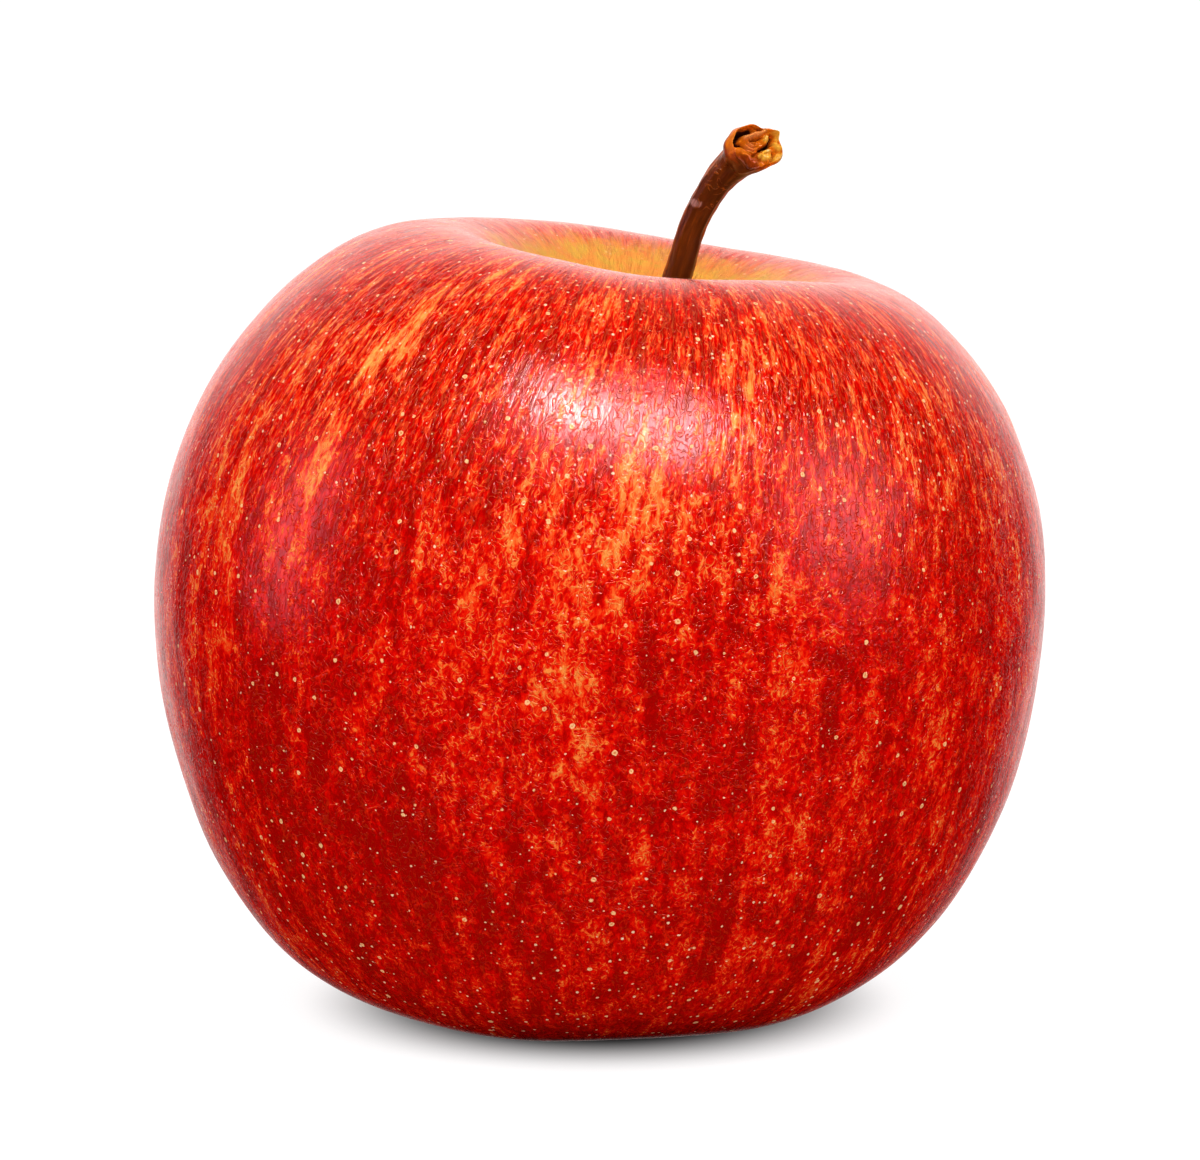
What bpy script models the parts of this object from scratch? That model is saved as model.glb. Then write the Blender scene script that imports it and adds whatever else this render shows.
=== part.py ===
"""A ripe red apple with its stem and its dried calyx, standing on the five lobes of its base.

Metres, +Z up, front towards -Y. The origin is on the surface the apple stands on, under the middle of
the fruit. The fruit is one solid; the stem sits in a socket in the floor of the upper cavity, and the
five sepals and the stamens sit in the basin underneath.
"""

import math

import bmesh
import bpy
from mathutils import Matrix, Vector
from mathutils.geometry import interpolate_bezier

MM = 0.001
SHARP_EDGE = math.radians(50.0)
MERGE_DISTANCE = 0.01 * MM

# The socket that holds the stem's root, and the gap left round a seated piece.
SOCKET_RADIUS = 1.9 * MM
SOCKET_DEPTH = 2.2 * MM
SEAT_GAP = 0.3 * MM

# The half outline of the fruit, from the socket's rim in the stem cavity down to the floor of the calyx
# basin. Each knot: radius, height, heading of the outline there (degrees, 0 outwards, 90 upwards), and
# how far the curve keeps to that heading before and after the knot.
CAVITY_FLOOR = (SOCKET_RADIUS, 52.0 * MM, 20.0, 0.0, 1.6 * MM)
CAVITY_WALL = (6.2 * MM, 57.8 * MM, 62.0, 2.6 * MM, 4.0 * MM)
SHOULDER = (18.2 * MM, 68.0 * MM, 0.0, 5.2 * MM, 10.2 * MM)
EQUATOR = (39.7 * MM, 36.8 * MM, -90.0, 17.9 * MM, 17.0 * MM)
FOOT = (13.7 * MM, 0.5 * MM, 180.0, 17.4 * MM, 3.6 * MM)
BASIN_WALL = (6.4 * MM, 4.6 * MM, 130.0, 2.4 * MM, 2.4 * MM)
BASIN_FLOOR = (0.0, 8.0 * MM, 180.0, 3.0 * MM, 0.0)
OUTLINE = (CAVITY_FLOOR, CAVITY_WALL, SHOULDER, EQUATOR, FOOT, BASIN_WALL, BASIN_FLOOR)
STEPS_BETWEEN_KNOTS = (3, 5, 10, 11, 5, 4)
FRUIT_SIDES = 60

# Five lobes, one over each seed chamber: where each is round the axis (degrees), and how far it raises
# the shoulder, swells the flank and lowers the foot.
LOBES = (
    (-40.0, 1.3 * MM, 0.1 * MM, 1.1 * MM),
    (32.0, 0.8 * MM, 1.7 * MM, 1.0 * MM),
    (104.0, 0.3 * MM, 0.6 * MM, 1.0 * MM),
    (176.0, 0.1 * MM, 0.0 * MM, 1.0 * MM),
    (248.0, 0.0 * MM, 0.6 * MM, 1.0 * MM),
)
LOBE_HALF_WIDTH = math.radians(60.0)

# The lobes have died away this near the axis, and reach their full size this far from it.
LOBES_START = 3.0 * MM
LOBES_FULL = 12.0 * MM
# The feet are lowered below this share of the equator's height.
FEET_BELOW = 0.75

# The fruit hung from its stem at a slant, so its top leans while its base stays level.
LEAN_RIGHT = math.radians(9.2)
LEAN_BACK = math.radians(1.0)
LEAN_STARTS = 28.8 * MM
LEAN_ENDS = 64.2 * MM

# The stem above its root: the places its middle passes through, and its radius at each.
STEM_COURSE = (
    ((7.5 * MM, -0.3 * MM, 66.1 * MM), 1.30 * MM),
    ((9.0 * MM, -1.0 * MM, 71.0 * MM), 1.24 * MM),
    ((11.1 * MM, -2.4 * MM, 75.0 * MM), 1.34 * MM),
    ((12.7 * MM, -3.7 * MM, 76.8 * MM), 1.62 * MM),
    ((14.2 * MM, -5.3 * MM, 77.7 * MM), 2.30 * MM),
    ((14.8 * MM, -6.0 * MM, 78.0 * MM), 2.25 * MM),
)
STEM_SIDES = 16
STEM_STEPS = 3
STEM_CAP_INSET = 0.7 * MM
STEM_CAP_SINK = 0.5 * MM

# A sepal's middle line, outwards from the axis and up, with its width at each place.
SEPAL_COURSE = (
    (4.1 * MM, 6.1 * MM, 3.2 * MM),
    (3.4 * MM, 5.5 * MM, 3.4 * MM),
    (2.6 * MM, 4.5 * MM, 2.8 * MM),
    (2.3 * MM, 3.4 * MM, 2.0 * MM),
    (2.8 * MM, 2.3 * MM, 1.2 * MM),
    (4.0 * MM, 1.6 * MM, 0.5 * MM),
)
SEPAL_COUNT = 5
SEPAL_THICKNESS = 0.45 * MM
SEPAL_TIP_ROUNDNESS = 0.6
SEPAL_STEPS = 2
SEPAL_SIDES = 10
FIRST_SEPAL_TURN = math.radians(-26.0)

# The tuft of dried stamens in the middle of the sepals.
STAMEN_COUNT = 7
TUFT_BASE_RADIUS = 1.2 * MM
TUFT_BASE_TOP = 7.5 * MM
TUFT_BASE_DEPTH = 1.4 * MM
STAMEN_LENGTH = 2.8 * MM
STAMEN_TIP_SCALE = 0.35
STAMEN_SPLAY = 0.3

# Each finish: its name, colour, roughness and metallic value.
SKIN_FINISH = ("apple_skin", (0.55, 0.02, 0.015, 1.0), 0.28, 0.0)
STEM_FINISH = ("dried_stem", (0.16, 0.07, 0.03, 1.0), 0.45, 0.0)
CALYX_FINISH = ("dried_calyx", (0.12, 0.085, 0.05, 1.0), 0.85, 0.0)


def clear_scene():
    """Empty the scene of every object it opened with."""
    for old in list(bpy.data.objects):
        bpy.data.objects.remove(old, do_unlink=True)


def smooth_step(low, high, value):
    """0 below low and 1 above high, with level ends and an S-shaped rise between them."""
    share = min(max((value - low) / (high - low), 0.0), 1.0)
    return share * share * (3.0 - 2.0 * share)


def make_material(finish):
    """A Principled material from a finish row."""
    name, colour, roughness, metallic = finish
    material = bpy.data.materials.new(name)
    material.use_nodes = True
    shader = material.node_tree.nodes["Principled BSDF"]
    shader.inputs["Base Color"].default_value = colour
    shader.inputs["Roughness"].default_value = roughness
    shader.inputs["Metallic"].default_value = metallic
    material.diffuse_color = colour
    return material


def finish_object(name, shape, material):
    """Turn a bmesh into a smooth-shaded object with outward faces, and free the bmesh."""
    bmesh.ops.recalc_face_normals(shape, faces=shape.faces)
    mesh = bpy.data.meshes.new(name)
    shape.to_mesh(mesh)
    shape.free()
    mesh.shade_smooth()
    mesh.set_sharp_from_angle(angle=SHARP_EDGE)
    mesh.materials.append(material)
    piece = bpy.data.objects.new(name, mesh)
    bpy.context.scene.collection.objects.link(piece)
    return piece


# ---------------------------------------------------------------------------------------- the fruit

def heading_vector(degrees):
    """The unit vector in the outline's plane that points along a heading."""
    angle = math.radians(degrees)
    return Vector((math.cos(angle), 0.0, math.sin(angle)))


def outline_points():
    """The half outline, in the XZ plane: the stem's socket, then a curve between each two knots."""
    socket_floor = CAVITY_FLOOR[1] - SOCKET_DEPTH
    points = [Vector((0.0, 0.0, socket_floor)), Vector((SOCKET_RADIUS, 0.0, socket_floor))]
    for start, end, steps in zip(OUTLINE[:-1], OUTLINE[1:], STEPS_BETWEEN_KNOTS):
        first = Vector((start[0], 0.0, start[1]))
        last = Vector((end[0], 0.0, end[1]))
        leaving = first + heading_vector(start[2]) * start[4]
        arriving = last - heading_vector(end[2]) * end[3]
        curve = interpolate_bezier(first, leaving, arriving, last, steps + 1)
        points.extend(curve if end is BASIN_FLOOR else curve[:-1])
    return points


def lobe_share(azimuth, middle):
    """How far a direction round the axis is inside a lobe: 1 at its middle, 0 from its half width on."""
    away = (azimuth - math.radians(middle) + math.pi) % (2.0 * math.pi) - math.pi
    if abs(away) >= LOBE_HALF_WIDTH:
        return 0.0
    return math.cos(math.pi / 2.0 * away / LOBE_HALF_WIDTH) ** 2


def with_lobes(point):
    """A turned point moved by the five lobes: up at the shoulder, out at the flank, down at the foot."""
    radius = math.hypot(point.x, point.y)
    azimuth = math.atan2(point.y, point.x)
    shares = [lobe_share(azimuth, lobe[0]) for lobe in LOBES]
    rise, bulge, drop = (sum(share * lobe[i] for share, lobe in zip(shares, LOBES)) for i in (1, 2, 3))
    off_axis = smooth_step(LOBES_START, LOBES_FULL, radius)
    upper = smooth_step(EQUATOR[1], SHOULDER[1], point.z) * off_axis
    lower = smooth_step(EQUATOR[1] * FEET_BELOW, 0.0, point.z) * off_axis
    height = point.z + rise * upper - drop * lower
    reach = radius + bulge * smooth_step(LOBES_START, EQUATOR[0], radius)
    return Vector((reach * math.cos(azimuth), reach * math.sin(azimuth), height))


def leaned(point):
    """A point turned with the fruit's top about the middle of the equator: first right, then back."""
    share = smooth_step(LEAN_STARTS, LEAN_ENDS, point.z)
    middle = Vector((0.0, 0.0, EQUATOR[1]))
    turn = Matrix.Rotation(-LEAN_BACK * share, 3, "X") @ Matrix.Rotation(LEAN_RIGHT * share, 3, "Y")
    return middle + turn @ (point - middle)


def make_fruit(material):
    """The outline spun round the axis, then lobed, leaned and flattened where the lobes stand."""
    shape = bmesh.new()
    ring = [shape.verts.new(point) for point in outline_points()]
    edges = [shape.edges.new(pair) for pair in zip(ring[:-1], ring[1:])]
    bmesh.ops.spin(
        shape,
        geom=ring + edges,
        cent=(0.0, 0.0, 0.0),
        axis=(0.0, 0.0, 1.0),
        angle=2.0 * math.pi,
        steps=FRUIT_SIDES,
        use_merge=True,
    )
    bmesh.ops.remove_doubles(shape, verts=shape.verts, dist=MERGE_DISTANCE)
    for vertex in shape.verts:
        vertex.co = leaned(with_lobes(vertex.co))
        vertex.co.z = max(vertex.co.z, 0.0)
    return finish_object("fruit", shape, material)


# ----------------------------------------------------------------------------- the stem and the calyx

def bridge_rings(shape, rings):
    """Join each ring of vertices to the next with a band of faces, and close both ends."""
    loops = []
    for ring in rings:
        loops.append([shape.edges.new(pair) for pair in zip(ring, ring[1:] + ring[:1])])
    for lower, upper in zip(loops[:-1], loops[1:]):
        bmesh.ops.bridge_loops(shape, edges=lower + upper)
    root = shape.faces.new(rings[0])
    tip = shape.faces.new(rings[-1])
    return root, tip


def ring_across(shape, middle, turn, half_width, half_thickness, sides):
    """An elliptical ring of vertices about a point, turned so that it lies across the course there."""
    ring = []
    for step in range(sides):
        angle = 2.0 * math.pi * step / sides
        offset = Vector((half_width * math.cos(angle), half_thickness * math.sin(angle), 0.0))
        ring.append(shape.verts.new(middle + turn @ offset))
    return ring


def course_slope(before, point, after):
    """The slope of a smooth course at a point, nearer to the slope of the shorter stretch beside it."""
    arriving = (point - before).length
    leaving = (after - point).length
    slope_in = (point - before) / arriving
    slope_out = (after - point) / leaving
    return (slope_in * leaving + slope_out * arriving) / (arriving + leaving)


def smooth_course(points, steps):
    """A smooth curve through points of any size: a cubic between each two, with steps stretches in it."""
    padded = [points[0] * 2.0 - points[1]] + list(points) + [points[-1] * 2.0 - points[-2]]
    slopes = [course_slope(*three) for three in zip(padded, padded[1:], padded[2:])]
    course = []
    for start, end, slope_in, slope_out in zip(points, points[1:], slopes, slopes[1:]):
        length = (end - start).length
        for step in range(steps):
            share = step / steps
            square = share * share
            cube = square * share
            course.append(
                start * (2.0 * cube - 3.0 * square + 1.0)
                + slope_in * length * (cube - 2.0 * square + share)
                + end * (3.0 * square - 2.0 * cube)
                + slope_out * length * (cube - square)
            )
    return course + [points[-1]]


def make_stem(material):
    """A tapered tube from the socket up and out of the cavity, curving to the front, with a dished end."""
    root_radius = SOCKET_RADIUS - SEAT_GAP
    root_height = CAVITY_FLOOR[1] - SOCKET_DEPTH + SEAT_GAP
    knots = [(leaned(Vector((0.0, 0.0, root_height))), root_radius)]
    knots.append((leaned(Vector((0.0, 0.0, CAVITY_FLOOR[1]))), root_radius))
    knots.extend((Vector(place), radius) for place, radius in STEM_COURSE)
    course = smooth_course([Vector((*place, radius)) for place, radius in knots], STEM_STEPS)
    middles = [knot.to_3d() for knot in course]
    shape = bmesh.new()
    rings = []
    for index, knot in enumerate(course):
        ahead = middles[min(index + 1, len(middles) - 1)]
        behind = middles[max(index - 1, 0)]
        turn = Vector((0.0, 0.0, 1.0)).rotation_difference(ahead - behind).to_matrix()
        rings.append(ring_across(shape, middles[index], turn, knot.w, knot.w, STEM_SIDES))
    tip = bridge_rings(shape, rings)[1]
    heading = (middles[-1] - middles[-2]).normalized()
    bmesh.ops.inset_region(shape, faces=[tip], thickness=STEM_CAP_INSET, use_even_offset=True)
    bmesh.ops.translate(shape, verts=tip.verts, vec=-heading * STEM_CAP_SINK)
    return finish_object("stem", shape, material)


def make_sepal(number, material):
    """A pointed blade of oval section that leaves the basin floor, closes in and curls out at its tip."""
    course = smooth_course([Vector(row) for row in SEPAL_COURSE], SEPAL_STEPS)
    shape = bmesh.new()
    rings = []
    for index, (reach, height, width) in enumerate(course):
        ahead = course[min(index + 1, len(course) - 1)]
        behind = course[max(index - 1, 0)]
        slope = math.atan2(ahead.x - behind.x, behind.y - ahead.y)
        turn = Matrix.Rotation(-slope, 3, "Y") @ Matrix.Rotation(math.pi / 2.0, 3, "Z")
        thickness = min(SEPAL_THICKNESS, width * SEPAL_TIP_ROUNDNESS)
        middle = Vector((reach, 0.0, height))
        rings.append(ring_across(shape, middle, turn, width / 2.0, thickness / 2.0, SEPAL_SIDES))
    bridge_rings(shape, rings)
    turn = FIRST_SEPAL_TURN + 2.0 * math.pi * (number - 1) / SEPAL_COUNT
    bmesh.ops.rotate(shape, verts=shape.verts, cent=(0.0, 0.0, 0.0), matrix=Matrix.Rotation(turn, 3, "Z"))
    return finish_object(f"sepal_{number}", shape, material)


def make_stamens(material):
    """A short stub whose lower end is drawn out into a ring of fine filaments."""
    shape = bmesh.new()
    middle = Matrix.Translation((0.0, 0.0, TUFT_BASE_TOP - TUFT_BASE_DEPTH / 2.0))
    bmesh.ops.create_cone(
        shape,
        cap_ends=True,
        cap_tris=True,
        segments=STAMEN_COUNT,
        radius1=TUFT_BASE_RADIUS,
        radius2=TUFT_BASE_RADIUS,
        depth=TUFT_BASE_DEPTH,
        matrix=middle,
    )
    underside = [face for face in shape.faces if face.normal.z < -0.9]
    for face in bmesh.ops.extrude_discrete_faces(shape, faces=underside)["faces"]:
        centre = face.calc_center_median()
        splay = Vector((centre.x, centre.y, 0.0)) * STAMEN_SPLAY
        shrink = Matrix.Diagonal((STAMEN_TIP_SCALE, STAMEN_TIP_SCALE, 1.0)).to_4x4()
        about_centre = Matrix.Translation(-centre)
        bmesh.ops.transform(shape, matrix=shrink, space=about_centre, verts=face.verts)
        bmesh.ops.translate(shape, verts=face.verts, vec=splay - Vector((0.0, 0.0, STAMEN_LENGTH)))
    return finish_object("stamens", shape, material)


def centre_pieces(fruit, pieces):
    """Move every piece sideways so that the middle of the fruit's footprint is over the origin."""
    across = [vertex.co.x for vertex in fruit.data.vertices]
    along = [vertex.co.y for vertex in fruit.data.vertices]
    middle = Vector(((min(across) + max(across)) / 2.0, (min(along) + max(along)) / 2.0, 0.0))
    for piece in pieces:
        piece.data.transform(Matrix.Translation(-middle))


def main():
    """Build the apple's eight pieces."""
    clear_scene()
    calyx = make_material(CALYX_FINISH)
    fruit = make_fruit(make_material(SKIN_FINISH))
    stem = make_stem(make_material(STEM_FINISH))
    sepals = [make_sepal(number, calyx) for number in range(1, SEPAL_COUNT + 1)]
    centre_pieces(fruit, [fruit, stem, *sepals, make_stamens(calyx)])


main()
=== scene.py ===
"""The looks of a ripe red apple: its skin, stem and dried calyx, on a plain pale floor.

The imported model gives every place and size. Lengths in the classes below are in millimetres, with the
front of the apple towards -Y, and each shape is fitted to the box of the solid that it stands for.
"""

import logging
import math
from dataclasses import dataclass
from enum import Enum
from typing import Sequence

import bpy
import numpy as np
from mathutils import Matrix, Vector


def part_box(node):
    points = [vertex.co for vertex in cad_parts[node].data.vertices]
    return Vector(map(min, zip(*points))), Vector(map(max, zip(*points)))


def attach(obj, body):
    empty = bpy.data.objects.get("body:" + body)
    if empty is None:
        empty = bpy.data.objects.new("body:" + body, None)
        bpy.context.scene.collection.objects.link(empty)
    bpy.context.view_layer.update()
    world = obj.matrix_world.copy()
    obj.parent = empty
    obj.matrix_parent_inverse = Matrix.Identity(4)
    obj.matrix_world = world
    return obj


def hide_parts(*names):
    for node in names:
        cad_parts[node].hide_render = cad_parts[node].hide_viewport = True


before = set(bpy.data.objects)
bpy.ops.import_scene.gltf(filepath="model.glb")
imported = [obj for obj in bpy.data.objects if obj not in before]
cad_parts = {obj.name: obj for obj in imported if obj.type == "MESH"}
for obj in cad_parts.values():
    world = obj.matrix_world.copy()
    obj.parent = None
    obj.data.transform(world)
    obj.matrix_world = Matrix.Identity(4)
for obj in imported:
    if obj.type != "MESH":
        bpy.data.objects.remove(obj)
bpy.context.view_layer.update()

LOG = logging.getLogger("apple")
MM = 0.001
BODY = "root"

Array = np.ndarray
Colour = tuple[float, float, float]
Size = tuple[float, float, float]
Socket = bpy.types.NodeSocket
Settings = dict[str, object]
Inputs = dict[str | int, object]


class Slot(Enum):
    """The material slots that the record names."""

    SKIN = "skin"
    STEM = "stem"
    CALYX = "calyx"


# ------------------------------------------------------------------------------------ whole-array maths

def smooth_step(low: float, high: float, value: Array) -> Array:
    """An S-shaped rise from 0 at low to 1 at high, 3s^2 - 2s^3 with s the share of the way.

    Args:
        low: Where the rise starts.
        high: Where it ends.
        value: The places to read it at.

    Returns:
        The height of the rise at each place.
    """
    share = np.clip((value - low) / (high - low), 0.0, 1.0)
    return share * share * (3.0 - 2.0 * share)


def smooth_fall(near: float, far: float, value: Array) -> Array:
    """The same S shape downwards: 1 where the value is near or less, 0 where it is far or more."""
    return smooth_step(-far, -near, -value)


def bell(distance: Array, width: float) -> Array:
    """A Gaussian bell, 1 at distance 0, with the given width to where it has fallen to 1/e."""
    return np.exp(-np.square(distance / width))


def unit(vectors: Array) -> Array:
    """The vectors scaled to length 1."""
    return vectors / np.linalg.norm(vectors, axis=-1, keepdims=True)


def turned_from(angle: Array, middle: Array | float) -> Array:
    """How far an angle is from a middle, in radians, between minus half a turn and half a turn."""
    return (angle - middle + math.pi) % (2.0 * math.pi) - math.pi


def round_turn(columns: int) -> Array:
    """The angles of so many columns once round, in radians."""
    return np.arange(columns) * 2.0 * math.pi / columns


def ripple(places: Array, size: float, seed: int, waves: int = 24) -> Array:
    """Smooth noise between about -1 and 1: a sum of plane waves in random directions.

    Args:
        places: Points, in an array that ends with an axis of 3.
        size: The mean wavelength, in the points' own unit.
        seed: Which noise it is.
        waves: How many waves are added.

    Returns:
        The noise at each point.
    """
    chance = np.random.default_rng(seed)
    headings = unit(chance.normal(size=(waves, 3)))
    pitches = 2.0 * math.pi / (size * chance.uniform(0.7, 1.5, waves))
    phases = chance.uniform(0.0, 2.0 * math.pi, waves)
    total = np.cos(places @ (headings * pitches[:, None]).T + phases).sum(axis=-1)
    return total * math.sqrt(2.0 / waves) / 2.0


@dataclass(frozen=True)
class Grade:
    """One grade of unevenness: how high it is at most, about, how long its waves are, and its seed."""

    height: float
    size: float
    seed: int

    def over(self, places: Array, shift: int = 0) -> Array:
        """The unevenness at each place; the shift is added to the seed."""
        return self.height * ripple(places, self.size, self.seed + shift)


def hermite_course(knots: Array, steps: int) -> Array:
    """A smooth curve through rows of numbers: a cubic between each two, with matching slopes.

    The slope at a knot is the mean of the slopes on its two sides, nearer to the shorter side's. Lengths
    are measured on the first three columns.

    Args:
        knots: The rows that the curve passes through.
        steps: How many stretches each gap between two knots is cut into.

    Returns:
        The rows along the curve, first and last knot included.
    """
    padded = np.vstack([2.0 * knots[0] - knots[1], knots, 2.0 * knots[-1] - knots[-2]])
    lengths = np.linalg.norm(np.diff(padded[:, :3], axis=0), axis=1)[:, None]
    grades = np.diff(padded, axis=0) / lengths
    slopes = (grades[:-1] * lengths[1:] + grades[1:] * lengths[:-1]) / (lengths[1:] + lengths[:-1])
    share = (np.arange((len(knots) - 1) * steps) % steps / steps)[:, None]
    gap = np.repeat(np.arange(len(knots) - 1), steps)
    length = lengths[1:-1][gap]
    curve = (
        knots[gap] * (2.0 * share**3 - 3.0 * share**2 + 1.0)
        + slopes[gap] * length * (share**3 - 2.0 * share**2 + share)
        + knots[gap + 1] * (3.0 * share**2 - 2.0 * share**3)
        + slopes[gap + 1] * length * (share**3 - share**2)
    )
    return np.vstack([curve, knots[-1]])


def even_course(course: Array, rows: int) -> Array:
    """The same curve, read at places that lie evenly along its length.

    Args:
        course: Rows of numbers along the curve, of which the first three are the place.
        rows: How many rows to read.

    Returns:
        The rows read.
    """
    run = np.concatenate([[0.0], np.cumsum(np.linalg.norm(np.diff(course[:, :3], axis=0), axis=1))])
    places = np.linspace(0.0, run[-1], rows)
    return np.stack([np.interp(places, run, column) for column in course.T], axis=1)


# ---------------------------------------------------------------------------------------------- meshes

class Surface:
    """A closed mesh over a grid of points whose rows run along the piece and columns round it.

    The first and last rows are poles: each is closed to the mean of its points.
    """

    def __init__(self, grid: Array) -> None:
        """Take the grid, in metres, as an array of rows x columns x 3."""
        self.rows, self.columns = grid.shape[:2]
        self.grid = grid

    def spread(self, values: Array) -> Array:
        """Values on the grid, as the list of vertices has them: one for each pole, all for the rest.

        Args:
            values: Numbers or vectors over rows and columns.

        Returns:
            One number or vector for each vertex.
        """
        ends = [values[row].mean(axis=0, keepdims=True) for row in (0, -1)]
        inner = values[1:-1].reshape((-1,) + values.shape[2:])
        return np.concatenate([ends[0], inner, ends[1]])

    def faces(self) -> tuple[Array, Array]:
        """The quads between rows and the triangles round both poles.

        Returns:
            The quads' and the triangles' vertex numbers.
        """
        inner = self.rows - 2
        number = 1 + np.arange(inner * self.columns).reshape(inner, self.columns)
        after = np.roll(number, -1, axis=1)
        quads = np.stack([number[:-1], number[1:], after[1:], after[:-1]], axis=-1).reshape(-1, 4)
        last = np.full(self.columns, 1 + inner * self.columns)
        top = np.stack([np.zeros_like(last), number[0], after[0]], axis=-1)
        bottom = np.stack([last, after[-1], number[-1]], axis=-1)
        return quads, np.concatenate([top, bottom])

    def unwrapped(self) -> Array:
        """Lay the faces out on the bake map: once round is 1 across, end to end 1 up.

        Returns:
            A place on the map for each face corner, quads first.
        """
        inner = self.rows - 2
        across = np.arange(self.columns) / self.columns
        step = 1.0 / self.columns
        up = np.arange(1, inner + 1) / (self.rows - 1)
        low_u, low_v = np.meshgrid(across, up[:-1])
        high_v = np.meshgrid(across, up[1:])[1]
        corners = [(low_u, low_v), (low_u, high_v), (low_u + step, high_v), (low_u + step, low_v)]
        quads = np.stack([np.stack(corner, axis=-1) for corner in corners], axis=2).reshape(-1, 2)
        middle = across + step / 2.0
        fans = []
        ends = ((0.0, up[0], across, across + step), (1.0, up[-1], across + step, across))
        for pole, edge, near, far in ends:
            fan = [(middle, pole), (near, edge), (far, edge)]
            fans.append(np.stack([np.stack([u, np.full_like(u, v)], axis=-1) for u, v in fan], axis=1))
        return np.concatenate([quads] + [fan.reshape(-1, 2) for fan in fans])

    def build(self, name: str, fields: dict[str, Array] | None = None) -> bpy.types.Object:
        """Make the object, smooth, with faces outwards, a bake map and a point attribute per field.

        Args:
            name: The piece's name.
            fields: Values on the grid, rows x columns for a number or rows x columns x 3 for a vector.

        Returns:
            The new object, linked to the scene.
        """
        places = self.spread(self.grid)
        quads, triangles = self.faces()
        fan = places[quads[:, [0, 1, 2]]]
        volume = np.einsum("ij,ij->i", fan[:, 0], np.cross(fan[:, 1], fan[:, 2])).sum()
        corners = self.unwrapped()
        if volume < 0.0:
            split = 4 * len(quads)
            squares = corners[:split].reshape(-1, 4, 2)[:, ::-1].reshape(-1, 2)
            fans = corners[split:].reshape(-1, 3, 2)[:, ::-1].reshape(-1, 2)
            corners = np.concatenate([squares, fans])
            quads, triangles = quads[:, ::-1], triangles[:, ::-1]
        mesh = bpy.data.meshes.new(name)
        mesh.from_pydata(places.tolist(), [], quads.tolist() + triangles.tolist())
        mesh.uv_layers.new(name="OFBake").uv.foreach_set("vector", corners.astype(np.float32).ravel())
        for label, values in (fields or {}).items():
            kind, key = ("FLOAT_VECTOR", "vector") if values.ndim == 3 else ("FLOAT", "value")
            layer = mesh.attributes.new(label, kind, "POINT")
            layer.data.foreach_set(key, self.spread(values).astype(np.float32).ravel())
        mesh.shade_smooth()
        piece = bpy.data.objects.new(name, mesh)
        bpy.context.scene.collection.objects.link(piece)
        return piece


def fitted(grid: Array, node: str) -> Array:
    """The grid scaled and moved along each axis so that it fills the node's box exactly.

    Args:
        grid: Points in metres, in an array that ends with an axis of 3.
        node: The CAD node whose box is filled.

    Returns:
        The points where they belong.
    """
    low, high = (np.array(corner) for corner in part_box(node))
    least = grid.reshape(-1, 3).min(axis=0)
    most = grid.reshape(-1, 3).max(axis=0)
    return low + (grid - least) * (high - low) / (most - least)


def hand_over(piece: bpy.types.Object, material: bpy.types.Material, slot: Slot, *nodes: str) -> None:
    """Finish the piece, let it ride on the apple's one body and stand for the nodes, and log its size.

    Args:
        piece: The piece.
        material: What it is finished with.
        slot: The record's slot that its finish belongs to; not used.
        *nodes: The CAD nodes that it stands for.
    """
    piece.data.materials.append(material)
    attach(piece, BODY)
    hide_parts(*nodes)
    size = " x ".join(f"{length / MM:.1f}" for length in piece.dimensions)
    LOG.info("%s: %d faces, %s mm", piece.name, len(piece.data.polygons), size)


# ------------------------------------------------------------------------------------------- materials

class Value:
    """A socket that holds a number, with arithmetic that adds Math nodes to its tree."""

    def __init__(self, paint: "Paint", socket: Socket) -> None:
        """Keep the tree that the socket is in."""
        self.paint = paint
        self.socket = socket

    def _math(self, operation: str, first: "Value | float", second: "Value | float" = 0.0) -> "Value":
        """One Math node on two values."""
        node = self.paint.node("ShaderNodeMath", {"operation": operation}, {0: first, 1: second})
        return Value(self.paint, node.outputs[0])

    def __add__(self, other: "Value | float") -> "Value":
        """This value plus another."""
        return self._math("ADD", self, other)

    __radd__ = __add__

    def __sub__(self, other: "Value | float") -> "Value":
        """This value less another."""
        return self._math("SUBTRACT", self, other)

    def __rsub__(self, other: float) -> "Value":
        """A number less this value."""
        return self._math("SUBTRACT", other, self)

    def __mul__(self, other: "Value | float") -> "Value":
        """This value times another."""
        return self._math("MULTIPLY", self, other)

    __rmul__ = __mul__

    def wave(self) -> "Value":
        """The sine of this value."""
        return self._math("SINE", self)

    def above(self, other: "Value | float") -> "Value":
        """The larger of this value and another."""
        return self._math("MAXIMUM", self, other)

    def below(self, other: "Value | float") -> "Value":
        """The smaller of this value and another."""
        return self._math("MINIMUM", self, other)

    def clear(self) -> "Value":
        """This value kept between 0 and 1."""
        return self.above(0.0).below(1.0)

    def rise(self, low: float, high: float) -> "Value":
        """An S-shaped rise from 0 where this value is low to 1 where it is high.

        Args:
            low: The value that gives 0; it may be the larger of the two.
            high: The value that gives 1.

        Returns:
            The height of the rise.
        """
        if low > high:
            return 1.0 - self.rise(high, low)
        inputs = {"Value": self, "From Min": low, "From Max": high}
        node = self.paint.node("ShaderNodeMapRange", {"interpolation_type": "SMOOTHSTEP"}, inputs)
        return Value(self.paint, node.outputs["Result"])


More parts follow.
